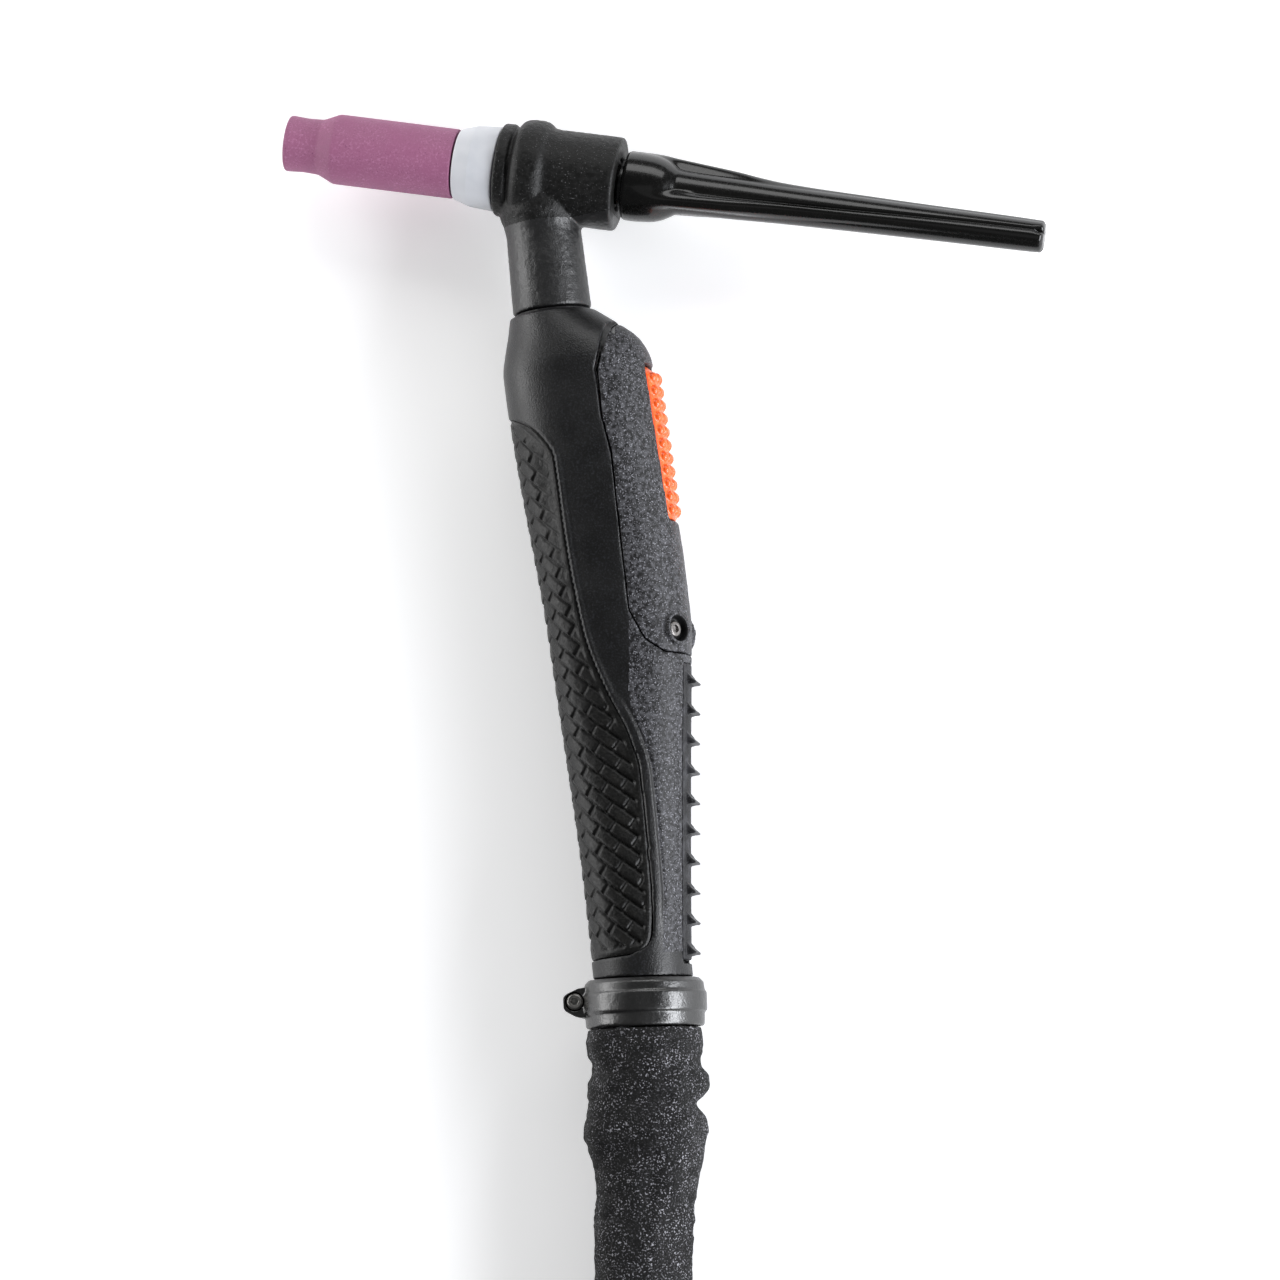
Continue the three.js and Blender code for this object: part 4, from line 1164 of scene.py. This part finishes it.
def make_trigger():
    rings = []
    for along in np.linspace(TRIGGER_START, TRIGGER_END, 70):
        across = np.linspace(TRIGGER_HALF_WIDTH, -TRIGGER_HALF_WIDTH, 41)
        crown = [(along, float(trigger_face(along, z)), z) for z in across]
        rings.append(crown + [(along, TRIGGER_UNDERSIDE, z) for z in (across[-1], across[0])])
    lug = slab([(93.5, 20.5), (93.5, 19), (94.5, 16), (99.5, 16), (100.3, 19), (100.3, 20.5)], (-5, 5))
    lug = cut(lug, moved(rod((-10, 10), 1.3, 40), turned_by(90, "Y"), shifted(97, 18.2, 0)))
    studs = [make_stud(STUD_START + i * STUD_PITCH, z) for i in range(STUD_COUNT) for z in STUD_ROWS]
    key = softened(gathered([skinned(rings), lug] + studs), 0.24, 3)
    middles = face_middles(key)
    below = middles[:, 1] - trigger_face(middles[:, 0], middles[:, 2])
    # The side walls and underside take the darker orange copy: painted shade.
    shaded_walls = (np.abs(middles[:, 2]) > 5.9) & (below < 0.25) | (below < -0.25)
    settle(key, "studded_trigger", HANDLE, "trigger", "orange", 60, rides="trigger")
    second_look(key, "orange_painted_shade", shaded_walls)


# ---- clamp collar
def on_clamp_axis(body):
    return moved(body, turned_by(-90, "Y"), shifted(-0.9, -18.3, 0))


def make_collar():
    ring = turned([
        (-6.6, 0), (-6.6, 15), (-5.4, 16.2), (-3.0, 16.5), (-2.6, 17), (2.4, 17), (2.8, 16.3), (6, 16.2),
        (6.6, 15.8), (6.6, 0),
    ], 160, 0.25)
    ear_outline = [(-4.6, -12), (-4.6, -17), (-2.6, -21.5), (1.4, -21.5), (3.6, -17.5), (3.6, -12)]
    ear = slab(rounded(ear_outline, 1.2, closed=True), (-6.5, 6.5))
    collar = cut(
        join(ring, ear), rod((-8, 8), 13.2, 128), block((-8, 8), (-24, -10), (-0.7, 0.7)),
        on_clamp_axis(rod((-8, 8), 1.9, 40)), on_clamp_axis(rod((4.6, 9), 2.6, 40)),
        on_clamp_axis(rod((-9, -4), 3.5, 6)),
    )
    collar = grained(softened(collar, 0.27, 3), 0.8, 0.03, 41)
    settle(collar, "split_collar", COLLAR, "cable_collar", "collar_black", 45)


def make_clamp_fasteners():
    screw = turned([
        (-6.4, 0), (-6.4, 1.5), (4.9, 1.5), (4.9, 2.3), (6.1, 2.3), (6.6, 1.8), (6.6, 0),
    ], 64, 0.15)
    screw = bevelled(cut(on_clamp_axis(screw), on_clamp_axis(rod((5.2, 8), 1.1, 6))), 0.06)
    settle(screw, "clamp_bolt", COLLAR, "clamp_screw", "steel", rides="clamp_screw")
    nut = cut(on_clamp_axis(rod((-6.4, -4.3), 3.1, 6)), on_clamp_axis(rod((-8, -3), 1.8, 48)))
    settle(bevelled(nut, 0.15), "clamp_hex_nut", COLLAR, "clamp_nut", "steel")


# ---- what is on the cable
STRAP_WIDTH = 22
STRAP_INSIDE = 14.3
STRAP_THICKNESS = 1.05
DOUBLED_THICKNESS = 1.0
DOUBLED = (6, 53)      # where the end is doubled back, along the strap


def strap_outline():
    """Rows of radius, height and outward direction, on a line drawn tight round the strapped turns."""
    turns = np.array([(OUTER_RADIUS, TURN_HEIGHT), (TOP_RADIUS, TOP_HEIGHT), (INNER_RADIUS, TURN_HEIGHT)])
    facing = round_turn(180)
    ways = np.column_stack([np.cos(facing), np.sin(facing)])
    held = turns[np.argmax(ways @ turns.T, axis=1)]
    closed = np.column_stack([held + STRAP_INSIDE * ways, ways])
    closed = np.vstack([closed, closed[:1]])
    along = lengths_along(closed[:, :2])
    places = np.arange(0, along[-1] - 0.3, 0.6)
    return np.stack([np.interp(places, along, closed[:, k]) for k in range(4)], axis=1), places


def make_strap(name, degrees, node):
    """A woven hook-and-loop band; its end is doubled back on the outer side of the coil."""
    outline, places = strap_outline()
    width = np.linspace(-STRAP_WIDTH / 2, STRAP_WIDTH / 2, 45)
    angle = math.radians(degrees)
    out_way = np.array((math.cos(angle), math.sin(angle), 0))
    side_way = np.array((-math.sin(angle), math.cos(angle), 0))
    centre = np.array((COIL_MIDDLE.x, COIL_MIDDLE.y, 0))
    doubled = eased(places, DOUBLED[0], DOUBLED[0] + 1) * (1 - eased(places, DOUBLED[1] - 1, DOUBLED[1]))
    hem = 0.18 * bell(np.abs(width), 9.6, 0.5) + 0.25 * (np.abs(width) > 10.8)
    rings = []
    for (radius, height, way_out, way_up), place, more in zip(outline, places, doubled):
        direction = out_way * way_out + np.array((0, 0, way_up))
        base = centre + out_way * radius + np.array((0, 0, height))
        weave = 0.07 * np.cos(2 * PI * place / 1.8) * np.cos(2 * PI * width / 1.2)
        thick = STRAP_THICKNESS + DOUBLED_THICKNESS * more + weave - hem
        if height - STRAP_INSIDE < 2:
            thick = np.minimum(thick, STRAP_THICKNESS + 0.1)      # clear of the table
        outer = base + side_way * width[:, None] + direction * thick[:, None]
        inner = base + side_way * width[::-1, None] + direction * 0.05
        sag = width ** 2 / (2 * radius) * way_out      # the turns curve away under a straight strap
        rings.append(np.vstack([outer, inner]) - out_way * np.concatenate([sag, sag[::-1]])[:, None])
    settle(skinned(rings, loop=True), name, TABLE, node, "webbing", 60)


def ribbed(start, end, radius_at, pitch, depth):
    """Profile points of a row of moulded ribs between two places."""
    points = []
    for place in np.arange(start, end - pitch / 2, pitch):
        crest = radius_at(place)
        points += [(place, crest - depth), (place + 0.3 * pitch, crest - depth)]
        points += [(place + 0.45 * pitch, crest), (place + 0.85 * pitch, crest)]
    return points


BOOT_ANGLE = math.radians(-155)
BOOT_TURN = 97
BOOT_SHIFT = (0.3, 0.8)      # of the boot's start from the cable's end


def make_end_boot():
    ribs = ribbed(16.5, 39, lambda x: 13.8 - 2.3 * (x - 16) / 24, 3.2, 0.9)
    sleeve = [(0.4, 0), (0.4, 13.6), (12, 14.2), (16, 13.8)]
    boot = turned(sleeve + ribs + [(41.4, 10.9), (42, 10.3), (42, 0)], 128, 0.35)
    x = COIL_MIDDLE.x + BOOT_SHIFT[0] + INNER_RADIUS * math.cos(BOOT_ANGLE)
    y = COIL_MIDDLE.y + BOOT_SHIFT[1] + INNER_RADIUS * math.sin(BOOT_ANGLE)
    place = TABLE @ shifted(x, y, TURN_HEIGHT) @ turned_by(BOOT_TURN)
    settle(boot, "cable_end_boot", place, "sheath_end_boot", "cable_rubber")


def plug_place(x, y, z):
    return TABLE @ shifted(COIL_MIDDLE.x + x, COIL_MIDDLE.y + y, z) @ turned_by(180)


def make_power_plug():
    place = plug_place(14, -58, 15)
    sleeve = [(0.3, 0), (0.3, 10), (4, 11), (24, 12.6), (30, 14.4)]
    grip = ribbed(31.5, 54, lambda x: 14.4, 2.5, 0.8)
    socket = [(56, 14.4), (58, 13.2), (58, 7.4), (50, 7.4), (50, 0)]
    boot = turned(sleeve + grip + socket, 128, 0.4)
    settle(boot, "power_plug_grip", place, "power_plug_boot", "cable_rubber")
    seal = turned([(58.4, 6.9), (58.4, 8.6), (59, 9), (60.4, 9), (61, 8.6), (61, 6.9)], 96, 0.5)
    settle(seal, "power_plug_ring", place, "power_plug_seal", "seal_rubber")
    pin = turned([
        (50.4, 0), (50.4, 6.5), (61.5, 6.5), (61.8, 6.2), (63, 6.2), (63.3, 6.5), (79.4, 6.5), (81, 5.2),
        (81, 0),
    ], 96, 0.3)
    pin = bevelled(join(pin, block((66, 71), (0, 8.4), (-2, 2))), 0.25)
    settle(pin, "power_plug_brass", place, "power_plug_pin", "brass")


def make_control_plug():
    place = plug_place(12, -20, 11.2)
    gland = turned([
        (0.3, 0), (0.3, 5), (3, 6.4), (5, 6.4), (5.4, 5.9), (6.6, 5.9), (7, 6.4), (11.7, 6.4), (11.7, 0),
    ], 96, 0.25)
    settle(gland, "control_gland", place, "control_plug_gland", "switch_black")
    shell = turned([
        (12, 0), (12, 7.6), (18, 9.6), (33, 9.6), (33, 8.4), (50.5, 8.4), (50.5, 7), (44, 7), (44, 0),
    ], 128, 0.3)
    settle(shell, "control_shell", place, "control_plug_shell", "steel")
    insert = turned([(44.3, 0), (44.3, 6.6), (50, 6.6), (50, 0)], 96, 0.3)
    holes = [moved(rod((47, 51), 0.7, 20), shifted(0, 3.8 * math.cos(a), 3.8 * math.sin(a)))
             for a in round_turn(5)]
    insert = cut(insert, *holes)
    settle(insert, "control_insert", place, "control_plug_insert", "switch_black")
    ring = turned([
        (33.4, 8.8), (33.4, 10.4), (34.2, 11.1), (47.5, 11.1), (48.3, 10.4), (48.3, 8.8),
    ], 120, 0.3)
    grooves = [moved(block((35, 46.5), (10.5, 12), (-0.8, 0.8)), turned_by(36 * i, "X")) for i in range(10)]
    ring = bevelled(cut(ring, *grooves), 0.15)
    settle(ring, "control_ring", place, "control_plug_ring", "steel", rides="control_plug_ring")


# ---- inner pieces that keep the frame's own shape
INNER_LOOKS = {
    "collet_body": "brass", "collet": "copper", "tungsten_electrode": "tungsten", "head_core": "copper",
    "cap_o_ring": "seal_rubber", "switch_carrier": "switch_black", "trigger_pin": "steel",
    "microswitch_body": "switch_black", "microswitch_lever": "steel", "neck_tube": "copper",
    "neck_bush": "cable_rubber", "power_coupling": "brass", "power_cable_core": "cable_rubber",
    "control_cable_core": "cable_rubber",
}


def dress_inner_pieces():
    for node, look in INNER_LOOKS.items():
        materials = NODES[node].data.materials
        materials.clear()
        materials.append(LOOKS[look])


def make_table():
    top = moved(block((-3000, 3000), (-3100, 2900), (-20, 0)), TABLE)
    top.name = "table_top"
    top.data.materials.append(LOOKS["table_top"])


make_camera()
make_light()
make_looks()
sheath, sheath_path = make_sheath()
power_tail, power_path = make_tail("power_lead", POWER_ROUTE, 7, "power_tail")
control_tail, control_path = make_tail("control_lead", CONTROL_ROUTE, 3.25, "control_tail")
make_nozzle()
make_insulator()
make_head_cover()
make_back_cap()
make_shells()
make_housing()
make_housing_screws()
make_grip_pad()
make_rib_strip()
make_trigger()
make_collar()
make_clamp_fasteners()
make_strap("webbing_strap_a", 345, "coil_strap_a")
make_strap("webbing_strap_b", 250, "coil_strap_b")
make_end_boot()
make_power_plug()
make_control_plug()
dress_inner_pieces()
make_table()
